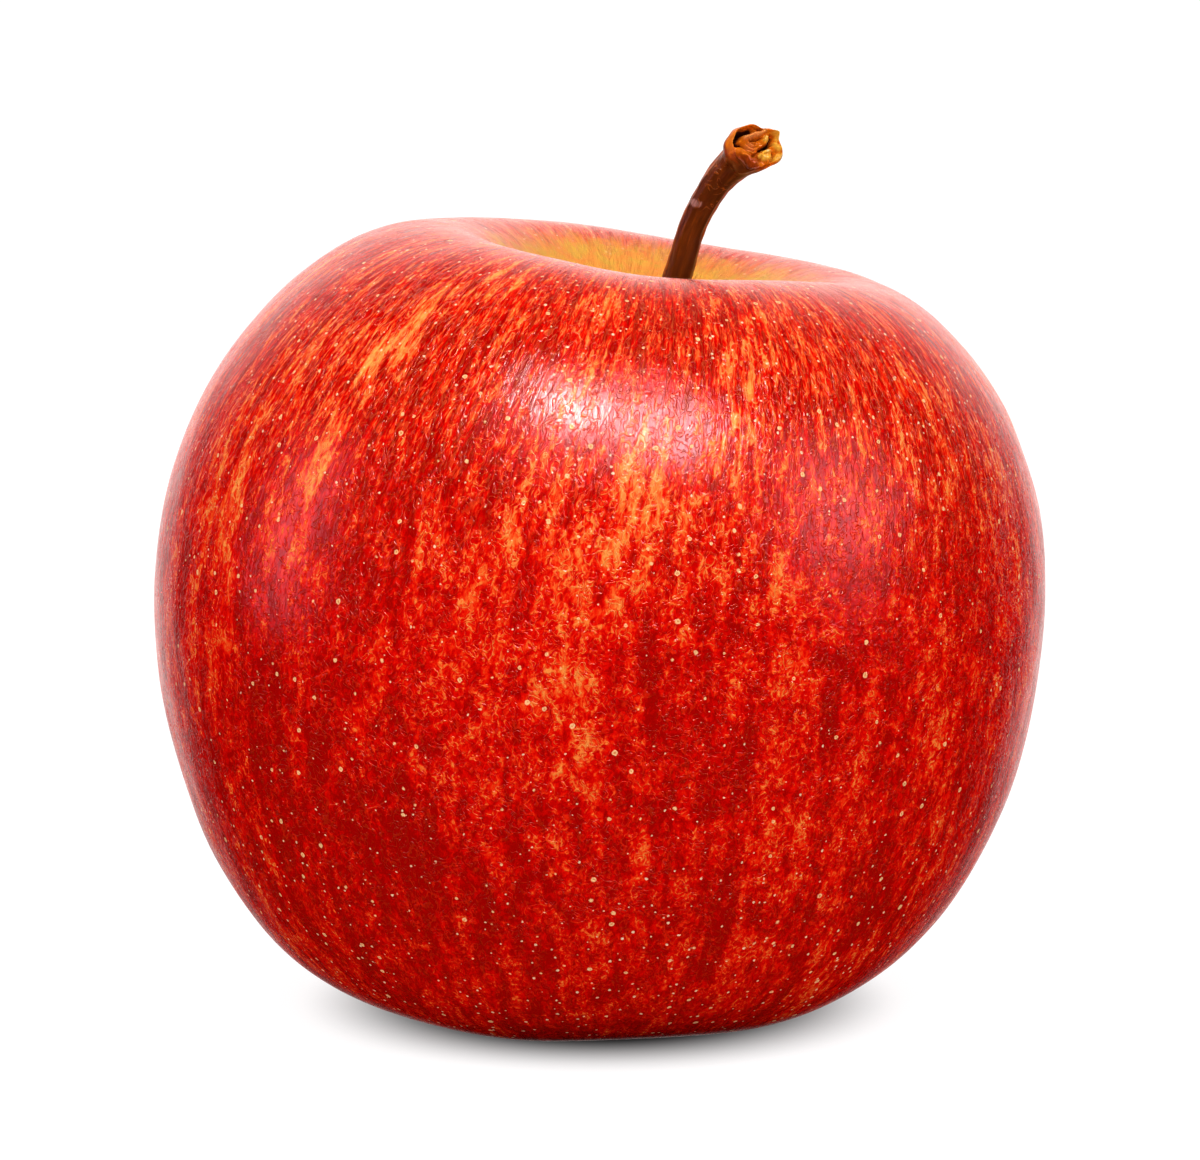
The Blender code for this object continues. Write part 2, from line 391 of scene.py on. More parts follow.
class Paint:
    """A node tree, and the few kinds of node that the finishes are made of."""

    def __init__(self, tree: bpy.types.NodeTree) -> None:
        """Empty the tree."""
        self.tree = tree
        tree.nodes.clear()

    def node(
        self, kind: str, settings: Settings | None = None, inputs: Inputs | None = None
    ) -> bpy.types.Node:
        """Add a node, set it up and then fill its sockets.

        Args:
            kind: The node's type.
            settings: Its own properties; "stops" is a colour ramp's list of (place, colour).
            inputs: Its sockets by name or number, each a Value, a socket to link, or a constant.

        Returns:
            The new node.
        """
        node = self.tree.nodes.new(kind)
        for name, setting in (settings or {}).items():
            if name == "stops":
                self._set_stops(node.color_ramp, setting)
            else:
                setattr(node, name, setting)
        for name, given in (inputs or {}).items():
            if isinstance(given, Value):
                given = given.socket
            if isinstance(given, bpy.types.NodeSocket):
                self.tree.links.new(given, node.inputs[name])
            else:
                node.inputs[name].default_value = given
        return node

    @staticmethod
    def _set_stops(ramp: bpy.types.ColorRamp, stops: Sequence[tuple[float, Colour]]) -> None:
        """Give a colour ramp its stops, lowest first."""
        while len(ramp.elements) < len(stops):
            ramp.elements.new(1.0)
        for element, (place, colour) in zip(ramp.elements, stops):
            element.position = place
            element.color = (*colour, 1.0)

    def millimetres(self) -> Socket:
        """The place on the piece, in millimetres in the apple's own frame."""
        return self.scaled(self.node("ShaderNodeTexCoord").outputs["Object"], 1.0 / MM)

    def field(self, name: str) -> Value:
        """A number that the mesh carries on its points."""
        return Value(self, self.node("ShaderNodeAttribute", {"attribute_name": name}).outputs["Fac"])

    def flow(self, name: str) -> Socket:
        """A vector that the mesh carries on its points."""
        return self.node("ShaderNodeAttribute", {"attribute_name": name}).outputs["Vector"]

    def vector(self, operation: str, *inputs: object) -> bpy.types.Node:
        """One Vector Math node on its inputs, in their order."""
        return self.node("ShaderNodeVectorMath", {"operation": operation}, dict(enumerate(inputs)))

    def stretched(self, place: Socket, size: Size, shift: float = 0.0) -> Socket:
        """The place divided by a size along each axis, then shifted to another part of the pattern."""
        scale = tuple(1.0 / length for length in size)
        return self.vector("MULTIPLY_ADD", place, scale, (shift,) * 3).outputs[0]

    def noise(
        self, place: Socket, size: Size, detail: float = 2.0, rough: float = 0.5, bend: float = 0.0,
        shift: float = 0.0,
    ) -> Value:
        """Smooth noise around 0.5.

        Args:
            place: Where it is read, in millimetres.
            size: How large its lumps are along each axis, in millimetres.
            detail: How many finer noises are added, each half the size of the one before.
            rough: How strong each finer noise is against the one before.
            bend: How far the noise is pushed about by another, in lumps.
            shift: Which part of the pattern is read.

        Returns:
            The noise.
        """
        inputs = {
            "Vector": self.stretched(place, size, shift),
            "Scale": 1.0,
            "Detail": detail,
            "Roughness": rough,
            "Distortion": bend,
        }
        return Value(self, self.node("ShaderNodeTexNoise", None, inputs).outputs["Fac"])

    def cells(self, place: Socket, spacing: float, shift: float) -> tuple[Value, Value]:
        """Scattered points, one to a cell.

        Args:
            place: Where they are looked for, in millimetres.
            spacing: How wide a cell is, in millimetres.
            shift: Which part of the pattern is read.

        Returns:
            How far the nearest point is, in cells, and its own random number.
        """
        inputs = {"Vector": self.stretched(place, (spacing,) * 3, shift), "Scale": 1.0}
        node = self.node("ShaderNodeTexVoronoi", None, inputs)
        chance = self.node("ShaderNodeSeparateColor", None, {0: node.outputs["Color"]})
        return Value(self, node.outputs["Distance"]), Value(self, chance.outputs[0])

    def warped(self, place: Socket, size: float, reach: float) -> Socket:
        """The place pushed about by a smooth noise.

        Args:
            place: The place, in millimetres.
            size: How large the noise's lumps are, in millimetres.
            reach: How far it pushes at most, about, in millimetres.

        Returns:
            The place after the push.
        """
        inputs = {"Vector": self.stretched(place, (size,) * 3), "Scale": 1.0, "Detail": 1.0}
        push = self.node("ShaderNodeTexNoise", None, inputs).outputs["Color"]
        push = self.vector("MULTIPLY_ADD", push, (2.0 * reach,) * 3, (-reach,) * 3).outputs[0]
        return self.vector("ADD", place, push).outputs[0]

    def scaled(self, vector: Socket | Colour, by: Value | float) -> Socket:
        """A vector or colour times a number."""
        inputs = {0: vector, "Scale": by}
        return self.node("ShaderNodeVectorMath", {"operation": "SCALE"}, inputs).outputs[0]

    def ramp(self, value: Value, stops: Sequence[tuple[float, Colour]]) -> Socket:
        """The colour that a value stands for on a ramp of stops."""
        return self.node("ShaderNodeValToRGB", {"stops": stops}, {0: value}).outputs["Color"]

    def blend(self, share: Value | float, under: Socket | Colour, over: Socket | Colour) -> Socket:
        """One colour laid over another.

        Args:
            share: How much of the upper colour shows, 0 to 1.
            under: The lower colour.
            over: The upper colour.

        Returns:
            The colour that comes of it.
        """
        given = [(*colour, 1.0) if isinstance(colour, tuple) else colour for colour in (under, over)]
        inputs = {0: share, 6: given[0], 7: given[1]}
        return self.node("ShaderNodeMix", {"data_type": "RGBA"}, inputs).outputs[2]

    def bump(self, height: Value, reach: float) -> Socket:
        """The normal over a height between 0 and 1 that stands for reach millimetres."""
        inputs = {"Height": height, "Distance": reach * MM, "Strength": 1.0}
        return self.node("ShaderNodeBump", None, inputs).outputs["Normal"]

    def surface(self, inputs: dict[str | int, object]) -> None:
        """Finish the tree with one Principled shader."""
        shader = self.node("ShaderNodeBsdfPrincipled", None, inputs)
        self.node("ShaderNodeOutputMaterial", None, {"Surface": shader.outputs[0]})


def new_material(name: str) -> tuple[bpy.types.Material, Paint]:
    """Start a material.

    Args:
        name: Its name.

    Returns:
        The empty material, and the paint that fills it.
    """
    material = bpy.data.materials.new(name)
    material.use_nodes = True
    return material, Paint(material.node_tree)


@dataclass(frozen=True)
class SkinFinish:
    """Waxy apple skin: red flames over orange-yellow, a fine net of curls, pale dots, a golden cavity.

    The red is thickest where the blush value is high. The flames and streaks follow the flow, which runs
    round the apple in its first two axes and down it in the third, so they gather towards stem and calyx.
    """

    name: str = "apple_skin"
    tones: tuple[tuple[float, Colour], ...] = (
        (0.00, (0.74, 0.32, 0.065)),
        (0.20, (0.72, 0.165, 0.027)),
        (0.36, (0.70, 0.062, 0.009)),
        (0.50, (0.66, 0.015, 0.0020)),
        (0.62, (0.60, 0.0026, 0.0007)),
        (0.78, (0.46, 0.0009, 0.0004)),
        (1.00, (0.28, 0.0006, 0.0003)),
    )
    flame_size: Size = (5.5, 5.5, 14.0)
    band_size: Size = (2.0, 2.0, 26.0)
    streak_size: Size = (1.2, 1.2, 3.2)
    thread_size: Size = (0.5, 0.5, 1.6)
    blotch_size: Size = (2.4, 2.4, 3.6)
    mottle_size: Size = (0.55, 0.55, 0.70)
    hair_size: Size = (0.5, 0.5, 1.7)
    lip_size: Size = (1.6, 1.6, 2.2)
    tongue_size: Size = (3.2, 3.2, 7.0)
    basin_ray_size: Size = (1.8, 1.8, 9.0)
    rib_size: Size = (0.34, 0.34, 2.4)
    cavity_size: float = 1.7
    edge_size: float = 2.4
    smear_size: float = 2.5
    grain_size: float = 0.35
    dot_spacing: float = 1.8
    fleck_spacing: float = 0.95
    curl_size: float = 0.95
    curl_turns: float = 24.0
    lip_tint_and_sheen: Colour = (0.78, 0.27, 0.20)
    curl_tone: Colour = (0.74, 0.12, 0.018)
    upper_curl_tone: Colour = (0.80, 0.18, 0.045)
    peach: Colour = (0.80, 0.20, 0.04)
    dot_tone: Colour = (0.86, 0.50, 0.22)
    pit_tone: Colour = (0.50, 0.11, 0.012)
    fleck_tone: Colour = (0.82, 0.56, 0.34)
    gold: Colour = (0.60, 0.31, 0.045)
    ochre: Colour = (0.70, 0.24, 0.045)
    russet: Colour = (0.25, 0.12, 0.04)
    base_gold: Colour = (0.60, 0.34, 0.06)
    roughness: float = 0.21
    ior: float = 1.38
    relief_depth: float = 0.034

    def blush(self, paint: Paint, flow: Socket) -> Value:
        """How much red lies over the ground colour.

        Broad patches, flames, bands and blotches come first. At the shoulder their deep end is flattened,
        so that it stays a clear red, and then streaks, threads and mottling are added.

        Args:
            paint: The tree that the nodes go into.
            flow: The place along the skin's flow.

        Returns:
            The amount of red, about 0 to 1.
        """
        flames = paint.noise(flow, self.flame_size, 4.0, 0.6, 0.4).rise(0.36, 0.64) - 0.5
        bands = paint.noise(flow, self.band_size, 1.0, 0.5, 0.1, 4.8).rise(0.42, 0.58) - 0.5
        streaks = paint.noise(flow, self.streak_size, 3.0, 0.6, 0.3, 7.3).rise(0.38, 0.62) - 0.5
        threads = paint.noise(flow, self.thread_size, 2.0, 0.6, 0.2, 3.1).rise(0.38, 0.62) - 0.5
        blotches = paint.noise(flow, self.blotch_size, 4.0, 0.62, 0.8, 1.7).rise(0.38, 0.62) - 0.5
        mottle = paint.noise(flow, self.mottle_size, 3.0, 0.65, 0.9, 2.6).rise(0.36, 0.64) - 0.5
        shoulder = paint.field("shoulder")
        streaky = streaks * (0.12 + shoulder * 0.14) + threads * (0.08 + shoulder * 0.32)
        broad = flames * (0.17 + shoulder * 0.22) + bands * (0.15 + shoulder * 0.12)
        broad = broad + blotches * (0.26 + shoulder * 0.12)
        blush = paint.field("blush") + broad
        blush = blush - (blush.above(0.70) - 0.70) * shoulder.rise(0.0, 0.6) * 0.8
        return blush + streaky + mottle * 0.31

    def curls(self, paint: Paint, flow: Socket) -> Value:
        """Fine curled lines: the level lines of two smooth noises, strong in places and gone in others.

        Args:
            paint: The tree that the nodes go into.
            flow: The place along the skin's flow.

        Returns:
            How strongly a line is drawn, 0 to 1.
        """
        bent = paint.warped(flow, 0.8, 0.45)
        lines = []
        for size, shift in ((self.curl_size, 5.9), (self.curl_size * 0.7, 11.3)):
            relief = paint.noise(bent, (size, size, size * 1.15), 0.0, 0.5, 0.0, shift)
            drawn = (relief * self.curl_turns).wave().rise(0.5, 1.0)
            shown = paint.noise(flow, (1.1, 1.1, 1.8), 2.0, 0.6, 0.0, shift + 3.3).rise(0.38, 0.56)
            lines.append(drawn * shown)
        return lines[0].above(lines[1])

    def flank(self, paint: Paint, flow: Socket, curls: Value) -> Socket:
        """The colour of the red skin, without its dots; its salmon band on the cavity's lip is partly the
        skin's paler rim and partly a painted sheen.

        Args:
            paint: The tree that the nodes go into.
            flow: The place along the skin's flow.
            curls: How strongly a curled line is drawn.

        Returns:
            The colour.
        """
        blush = self.blush(paint, flow)
        shoulder = paint.field("shoulder")
        bare = blush.rise(0.72, 0.42)
        colour = paint.ramp((blush - curls * (bare * 0.18 + 0.12) + 0.05).clear(), self.tones)
        curl_colour = paint.blend(shoulder, self.curl_tone, self.upper_curl_tone)
        colour = paint.blend(curls * (bare * 0.54 + shoulder * 0.10 + 0.06), colour, curl_colour)
        hairs = (paint.noise(flow, self.hair_size, 2.0, 0.6, 0.6, 8.4) * 30.0).wave().rise(0.4, 1.0)
        colour = paint.blend(hairs * shoulder * (bare * 0.4 + 0.08), colour, self.peach)
        # Salmon band on the cavity's lip: the skin's paler rim, and partly a painted sheen where the rim
        # catches the light.
        lip = paint.field("lip") * paint.noise(flow, self.lip_size, 3.0, 0.65, 0.6, 5.2).rise(0.2, 0.7)
        return paint.blend(lip * 0.55, colour, self.lip_tint_and_sheen)

    def cavity(self, paint: Paint, place: Socket, flow: Socket) -> tuple[Value, Socket]:
        """The golden skin round the stem, whose edge runs out over the red in tongues.

        Args:
            paint: The tree that the nodes go into.
            place: The place in millimetres.
            flow: The place along the skin's flow.

        Returns:
            How much of it shows, and its colour.
        """
        patchy = paint.noise(place, (self.cavity_size,) * 3, 4.0, 0.65, 0.6).rise(0.35, 0.65)
        colour = paint.blend(patchy, self.gold, self.ochre)
        colour = paint.blend(paint.field("socket"), colour, self.russet)
        golden = paint.field("cavity")
        tongues = paint.noise(flow, self.tongue_size, 2.0, 0.6, 0.5, 4.4) - 0.5
        reach = tongues * 0.7 + paint.noise(place, (self.edge_size,) * 3, 4.0, 0.65, 0.8, 9.2) - 0.5
        return (golden + reach * golden.rise(0.0, 0.35)).rise(0.12, 0.85), colour

    def material(self) -> bpy.types.Material:
        """Paint the skin: flank, cavity and basin, then dots and flecks, then its fine relief.

        Returns:
            The finished material.
        """
        material, paint = new_material(self.name)
        place = paint.millimetres()
        flow = paint.flow("flow")
        shoulder = paint.field("shoulder")
        curls = self.curls(paint, flow)
        inside, cavity_colour = self.cavity(paint, place, flow)
        colour = paint.blend(inside, self.flank(paint, flow, curls), cavity_colour)
        rays = paint.noise(flow, self.basin_ray_size, 3.0, 0.6, 0.0, 6.1) - 0.5
        basin = paint.field("basin") + rays * 0.5
        colour = paint.blend(basin.rise(0.45, 0.9), colour, self.base_gold)

        ragged = paint.warped(place, 0.35, 0.10)
        dots, dots_own = paint.cells(ragged, self.dot_spacing, 2.3)
        radius = 0.04 + dots_own * 0.095
        dot = (radius - dots).rise(-0.025, 0.02)
        pit = (radius * 0.45 - dots).rise(-0.02, 0.02) * dots_own.rise(0.35, 0.45)
        flecks, flecks_own = paint.cells(ragged, self.fleck_spacing, 8.8)
        fleck_radius = paint.field("foot") * 0.05 + shoulder * 0.045 + flecks_own * 0.08 + 0.015
        fleck = (fleck_radius - flecks).rise(-0.04, 0.03)
        outside = 1.0 - inside
        colour = paint.blend(fleck * outside * 0.8, colour, self.fleck_tone)
        colour = paint.blend(dot * outside * 0.8, colour, self.dot_tone)
        colour = paint.blend(pit * outside * 0.75, colour, self.pit_tone)

        grain = paint.noise(place, (self.grain_size,) * 3, 2.0, 0.6)
        ribs = paint.noise(flow, self.rib_size, 2.0, 0.6, 0.0, 2.0)
        relief = grain * 0.6 + ribs * (0.9 + shoulder * 0.4) + curls * 1.5 + dot * 0.3 - pit * 0.5
        smear = paint.noise(place, (self.smear_size,) * 3, 3.0, 0.6)
        paint.surface({
            "Base Color": colour,
            "Roughness": (smear - 0.5) * 0.16 + grain * 0.10 + dot * 0.15 + (self.roughness - 0.05),
            "Normal": paint.bump(relief, self.relief_depth),
            "IOR": self.ior,
        })
        return material


@dataclass(frozen=True)
class StemFinish:
    """Dried, varnish-dark stem bark that turns orange and then to cream pith at the torn end."""

    name: str = "dried_stem"
    dark: Colour = (0.032, 0.0025, 0.0007)
    brown: Colour = (0.115, 0.020, 0.0016)
    # Also the painted rim light along both sides of the stem, besides its fibre ridges and worm lines.
    edge: Colour = (0.34, 0.070, 0.006)
    rust: Colour = (0.22, 0.026, 0.002)
    orange: Colour = (0.56, 0.13, 0.004)
    peach: Colour = (0.62, 0.22, 0.06)
    pith: Colour = (0.60, 0.27, 0.025)
    cream: Colour = (0.74, 0.56, 0.24)
    scar: Colour = (0.36, 0.17, 0.15)
    fibre_size: Size = (0.35, 0.35, 3.5)
    broad_size: Size = (1.3, 1.3, 5.0)
    mottle_size: float = 0.9
    burnt_size: float = 0.8
    worm_size: float = 1.2
    relief_depth: float = 0.09
    ior: float = 1.36

    @staticmethod
    def frayed(zone: Value, noise: Value, reach: float, ends: float) -> Value:
        """A zone whose edge is frayed by a noise, as far as reach, where the zone is between 0 and ends."""
        return zone + (noise - 0.5) * reach * zone.rise(0.0, ends)

    def material(self) -> bpy.types.Material:
        """Paint the stem: dark bark with a painted rim light along its sides, its scar, the warm end with a
        painted shade on its underside, the pale pith and painted shade in the grooves of the torn end.

        Returns:
            The finished material.
        """
        material, paint = new_material(self.name)
        place = paint.millimetres()
        flow = paint.flow("flow")
        fibres = paint.noise(flow, self.fibre_size, 4.0, 0.65)
        mottle = paint.noise(place, (self.mottle_size,) * 3, 3.0, 0.6, 0.8, 3.3)
        broad = paint.noise(flow, self.broad_size, 3.0, 0.6, 0.4, 6.4)
        burnt = paint.noise(place, (self.burnt_size,) * 3, 3.0, 0.6, 0.8, 8.1)
        colour = paint.blend(broad.rise(0.34, 0.66) * 0.8 + mottle * 0.2, self.dark, self.brown)
        # Painted rim light: the edge colour along both sides of the stem as the front sees them, broken by
        # the mottle; the ridges share the colour.
        rim_lit = paint.field("margin") * mottle.rise(0.30, 0.55) * 0.8
        ridge = (fibres.rise(0.55, 0.75) * 0.35).above(rim_lit)
        bends = paint.noise(place, (self.worm_size,) * 3, 0.0, 0.5, 0.6, 12.4)
        worms = (bends * 22.0).wave().rise(0.86, 1.0) * paint.field("worms") * mottle.rise(0.42, 0.56)
        colour = paint.blend(ridge.above(worms * 0.7), colour, self.edge)
        scar = paint.field("scar")
        healed = (scar + (mottle + fibres - 1.0) * 1.1 * scar.rise(0.0, 0.3)).rise(0.38, 0.80)
        colour = paint.blend(healed * (0.5 + fibres.rise(0.4, 0.6) * 0.4), colour, self.scar)
        # The warm end, less a painted shade on its underside.
        warm = paint.field("flare")
        colour = paint.blend(self.frayed(warm, burnt, 1.2, 0.2).rise(0.15, 0.55), colour, self.rust)
        colour = paint.blend(self.frayed(warm, burnt, 0.9, 0.2).rise(0.55, 1.0), colour, self.orange)
        fold = paint.field("fold") + (fibres - 0.5) * 0.5
        colour = paint.blend(fold.rise(0.35, 0.85) * 0.8, colour, self.peach)
        pale = paint.field("pith") + (mottle - 0.5) * 0.6
        colour = paint.blend(pale.rise(0.35, 0.80), colour, self.pith)
        colour = paint.blend((pale + (burnt - 0.5) * 0.8).rise(0.95, 1.25), colour, self.cream)
        # Painted shade: the dark colour laid into the torn end's grooves according to their depth; the
        # grooves are rougher too.
        shaded_grooves = paint.field("crevice") + (fibres - 0.5) * 0.25
        colour = paint.blend(shaded_grooves.rise(0.25, 0.7) * 0.95, colour, self.dark)
        relief = fibres * 0.6 + mottle * 0.5 + worms * 0.5
        paint.surface({
            "Base Color": colour,
            "Roughness": mottle * 0.24 + shaded_grooves.clear() * 0.3 + 0.24,
            "Normal": paint.bump(relief, self.relief_depth),
            "IOR": self.ior,
        })
        return material


@dataclass(frozen=True)
class CalyxFinish:
    """Withered calyx: grey-brown and felted, mottled darker and lighter at random, with fine veins along
    it.
    """

    name: str = "dried_calyx"
    dark: Colour = (0.030, 0.017, 0.010)
    brown: Colour = (0.13, 0.075, 0.035)
    felt: Colour = (0.34, 0.27, 0.18)
    mottle_size: Size = (0.8, 0.8, 0.8)
    vein_size: Size = (0.22, 0.22, 2.4)
    hair_size: Size = (0.12, 0.12, 0.5)
    relief_depth: float = 0.12
    ior: float = 1.4

    def material(self) -> bpy.types.Material:
        """Paint the calyx: a mottled ground under pale felt, with veins along each part.

        Returns:
            The finished material.
        """
        material, paint = new_material(self.name)
        place = paint.millimetres()
        flow = paint.flow("flow")
        mottle = paint.noise(place, self.mottle_size, 4.0, 0.65, 0.5)
        veins = paint.noise(flow, self.vein_size, 3.0, 0.6)
        hairs = paint.noise(place, self.hair_size, 2.0, 0.6, 0.4, 4.0)
        colour = paint.blend(mottle.rise(0.35, 0.62), self.dark, self.brown)
        colour = paint.blend(hairs.rise(0.52, 0.7) * 0.6, colour, self.felt)
        paint.surface({
            "Base Color": colour,
            "Roughness": mottle * 0.2 + 0.72,
            "Normal": paint.bump(veins * 0.7 + hairs * 0.5, self.relief_depth),
            "IOR": self.ior,
        })
        return material


# --------------------------------------------------------------------------------------------- the apple

@dataclass(frozen=True)
class Knot:
    """A place the fruit's half outline passes: where, which way, and how far it keeps to that heading."""

    radius: float
    height: float
    heading: float
    before: float
    after: float

    def place(self) -> Array:
        """The knot's radius and height."""
        return np.array([self.radius, self.height])

    def direction(self) -> Array:
        """The unit heading there, 0 degrees outwards and 90 upwards."""
        return np.array([math.cos(math.radians(self.heading)), math.sin(math.radians(self.heading))])


@dataclass(frozen=True)
class Lobe:
    """A swelling over one seed chamber: its place round the axis, and how it moves the surface."""

    azimuth: float
    rise: float
    bulge: float
    drop: float


@dataclass(frozen=True)
class Patch:
    """A soft patch of more or less red: degrees right of the front, height, half sizes and amount."""

    turn: float
    height: float
    half_turn: float
    half_height: float
    amount: float


@dataclass
class Fruit:
    """The fruit: a half outline turned round the axis, five-lobed, leaning at the top, flat underneath.

    The knots give the half outline, from the mouth of the stem's socket to the axis underneath. The lean is
    in degrees, and grows between its two heights. A pair of radii or heights gives the stretch over which a
    zone of the skin fades in or out.
    """

    name: str = "fruit_skin"
    node: str = "fruit"
    rows: int = 256
    columns: int = 360
    socket_radius: float = 1.68
    socket_floor: float = 49.8
    socket_top: float = 51.7
    knots: tuple[Knot, ...] = (
        Knot(1.9, 52.0, 20.0, 0.0, 1.6),
        Knot(6.2, 57.8, 62.0, 2.6, 4.0),
        Knot(18.2, 68.0, 0.0, 5.2, 10.2),
        Knot(39.7, 36.8, -90.0, 17.9, 17.0),
        Knot(13.7, 0.5, 180.0, 17.4, 3.6),
        Knot(6.4, 4.6, 130.0, 2.4, 2.4),
        Knot(0.0, 8.0, 180.0, 3.0, 0.0),
    )
    lobes: tuple[Lobe, ...] = (
        Lobe(-40.0, 1.3, 0.1, 1.1),
        Lobe(32.0, 0.8, 1.7, 1.0),
        Lobe(104.0, 0.3, 0.6, 1.0),
        Lobe(176.0, 0.1, 0.0, 1.0),
        Lobe(248.0, 0.0, 0.6, 1.0),
    )
    lobe_half_width: float = 60.0
    lobes_start: float = 3.0
    lobes_full: float = 12.0
    feet_below: float = 0.75
    lean_right: float = 9.2
    lean_back: float = 1.0
    lean_starts: float = 28.8
    lean_ends: float = 64.2
    swells: tuple[Grade, ...] = (Grade(0.13, 17.0, 5), Grade(0.04, 6.0, 6))
    swell_radii: tuple[float, float] = (6.0, 14.0)
    swell_heights: tuple[float, float] = (1.0, 9.0)
    puckers: int = 10
    fine_puckers: int = 17
    pucker_height: float = 0.28
    pucker_radii: tuple[float, float] = (1.5, 4.5)
    pucker_full: float = 7.0
    flow_radius: float = 36.0
    shoulder: tuple[float, float] = (38.0, 62.0)
    streak_stretch: float = 0.8
    lip_radius: float = 16.5
    basin_radius: float = 13.0
    basin_heights: tuple[float, float] = (10.0, 20.0)
    basin_middle: float = 6.0
    lip_width: float = 5.0
    lip_heights: tuple[float, float] = (60.0, 66.0)
    cavity_radii: tuple[float, float] = (10.5, 18.5)
    socket_radii: tuple[float, float] = (2.0, 4.2)
    foot_heights: tuple[float, float] = (8.0, 34.0)
    flank_red: float = 0.71
    foot_red: float = 0.07
    foot_red_heights: tuple[float, float] = (12.0, 38.0)
    shoulder_red: float = 0.15
    shoulder_red_heights: tuple[float, float] = (44.0, 60.0)
    patches: tuple[Patch, ...] = (
        Patch(-44.0, 63.0, 9.0, 4.0, -0.34),
        Patch(-5.0, 58.0, 6.0, 5.0, -0.20),
        # Less red just below the front highlights: the skin's orange, and partly a painted sheen.
        Patch(0.0, 50.5, 7.0, 6.0, -0.29),
        Patch(-4.0, 31.0, 7.0, 9.0, -0.22),
        Patch(-46.0, 52.0, 6.0, 6.0, -0.22),
        Patch(26.0, 64.0, 6.0, 4.0, -0.12),
        Patch(14.0, 47.0, 9.0, 6.0, -0.04),
        Patch(10.0, 65.0, 9.0, 4.0, 0.26),
        Patch(-21.0, 48.0, 7.0, 7.0, -0.07),
        Patch(50.0, 48.0, 10.0, 8.0, 0.08),
        Patch(-40.0, 32.0, 8.0, 8.0, 0.12),
        Patch(-52.0, 28.0, 12.0, 9.0, 0.16),
        Patch(11.0, 25.0, 12.0, 6.0, 0.08),
        Patch(-26.0, 20.0, 14.0, 10.0, 0.20),
    )

    def outline(self) -> Array:
        """The half outline: the socket, then a cubic Bezier between each two knots.

        Returns:
            Rows of radius, nought and height, evenly spaced from the axis above to the axis below.
        """
        share = np.linspace(0.0, 1.0, 120)[:, None]
        stretches = [
            np.array([[0.0, self.socket_floor]]),
            np.array([[self.socket_radius, height] for height in (self.socket_floor, self.socket_top)]),
        ]
        for start, end in zip(self.knots[:-1], self.knots[1:]):
            first, last = start.place(), end.place()
            leaving = first + start.direction() * start.after
            arriving = last - end.direction() * end.before
            stretches.append(
                first * (1.0 - share) ** 3 + 3.0 * leaving * share * (1.0 - share) ** 2
                + 3.0 * arriving * share**2 * (1.0 - share) + last * share**3
            )
        points = np.vstack(stretches)
        return even_course(np.column_stack([points[:, 0], np.zeros(len(points)), points[:, 1]]), self.rows)

    def lobe_shares(self, azimuth: Array) -> Array:
        """How far each direction is inside each lobe: a squared cosine over the lobe's half width.

        Args:
            azimuth: Directions about the axis, in radians.

        Returns:
            The share of each lobe at each direction, with a last axis for the lobes.
        """
        middles = np.radians([lobe.azimuth for lobe in self.lobes])
        away = turned_from(azimuth[..., None], middles)
        reach = np.clip(np.abs(away) / math.radians(self.lobe_half_width), 0.0, 1.0)
        return np.square(np.cos(math.pi / 2.0 * reach))

    def lobed(self, radius: Array, height: Array, azimuth: Array) -> Array:
        """Turned points moved by the lobes: up at the shoulder, out at the flank, down at the foot.

        Args:
            radius: How far each point is from the axis.
            height: How high it is.
            azimuth: Its direction about the axis, in radians.

        Returns:
            The moved points.
        """
        moves = np.array([(lobe.rise, lobe.bulge, lobe.drop) for lobe in self.lobes])
        rise, bulge, drop = np.moveaxis(self.lobe_shares(azimuth) @ moves, -1, 0)
        equator, shoulder = self.knots[3], self.knots[2]
        off_axis = smooth_step(self.lobes_start, self.lobes_full, radius)
        upper = smooth_step(equator.height, shoulder.height, height) * off_axis
        lower = smooth_fall(0.0, equator.height * self.feet_below, height) * off_axis
        reach = radius + bulge * smooth_step(self.lobes_start, equator.radius, radius)
        moved = height + rise * upper - drop * lower
        return np.stack([reach * np.cos(azimuth), reach * np.sin(azimuth), moved], axis=-1)

    def leaned(self, points: Array) -> Array:
        """Points turned about the middle of the equator, the more the higher they are, right and back.

        Args:
            points: The upright apple's points.

        Returns:
            The leaning apple's points.
        """
        share = smooth_step(self.lean_starts, self.lean_ends, points[..., 2])
        middle = self.knots[3].height
        x, y, z = points[..., 0], points[..., 1], points[..., 2] - middle
        right = math.radians(self.lean_right) * share
        x, z = x * np.cos(right) + z * np.sin(right), z * np.cos(right) - x * np.sin(right)
        back = -math.radians(self.lean_back) * share
        y, z = y * np.cos(back) - z * np.sin(back), z * np.cos(back) + y * np.sin(back)
        return np.stack([x, y, z + middle], axis=-1)

    def uneven(self, points: Array) -> Array:
        """Shallow hollows and swellings, less than a quarter of a millimetre, that no two apples share.

        Args:
            points: The even apple's points.

        Returns:
            The same points, each moved a little outwards or inwards.
        """
        outward = unit(points - np.array([0.0, 0.0, self.knots[3].height]))
        radius = np.hypot(points[..., 0], points[..., 1])
        free = smooth_step(*self.swell_radii, radius) * smooth_step(*self.swell_heights, points[..., 2])
        swell = sum(grade.over(points) for grade in self.swells)
        return points + outward * (swell * free)[..., None]

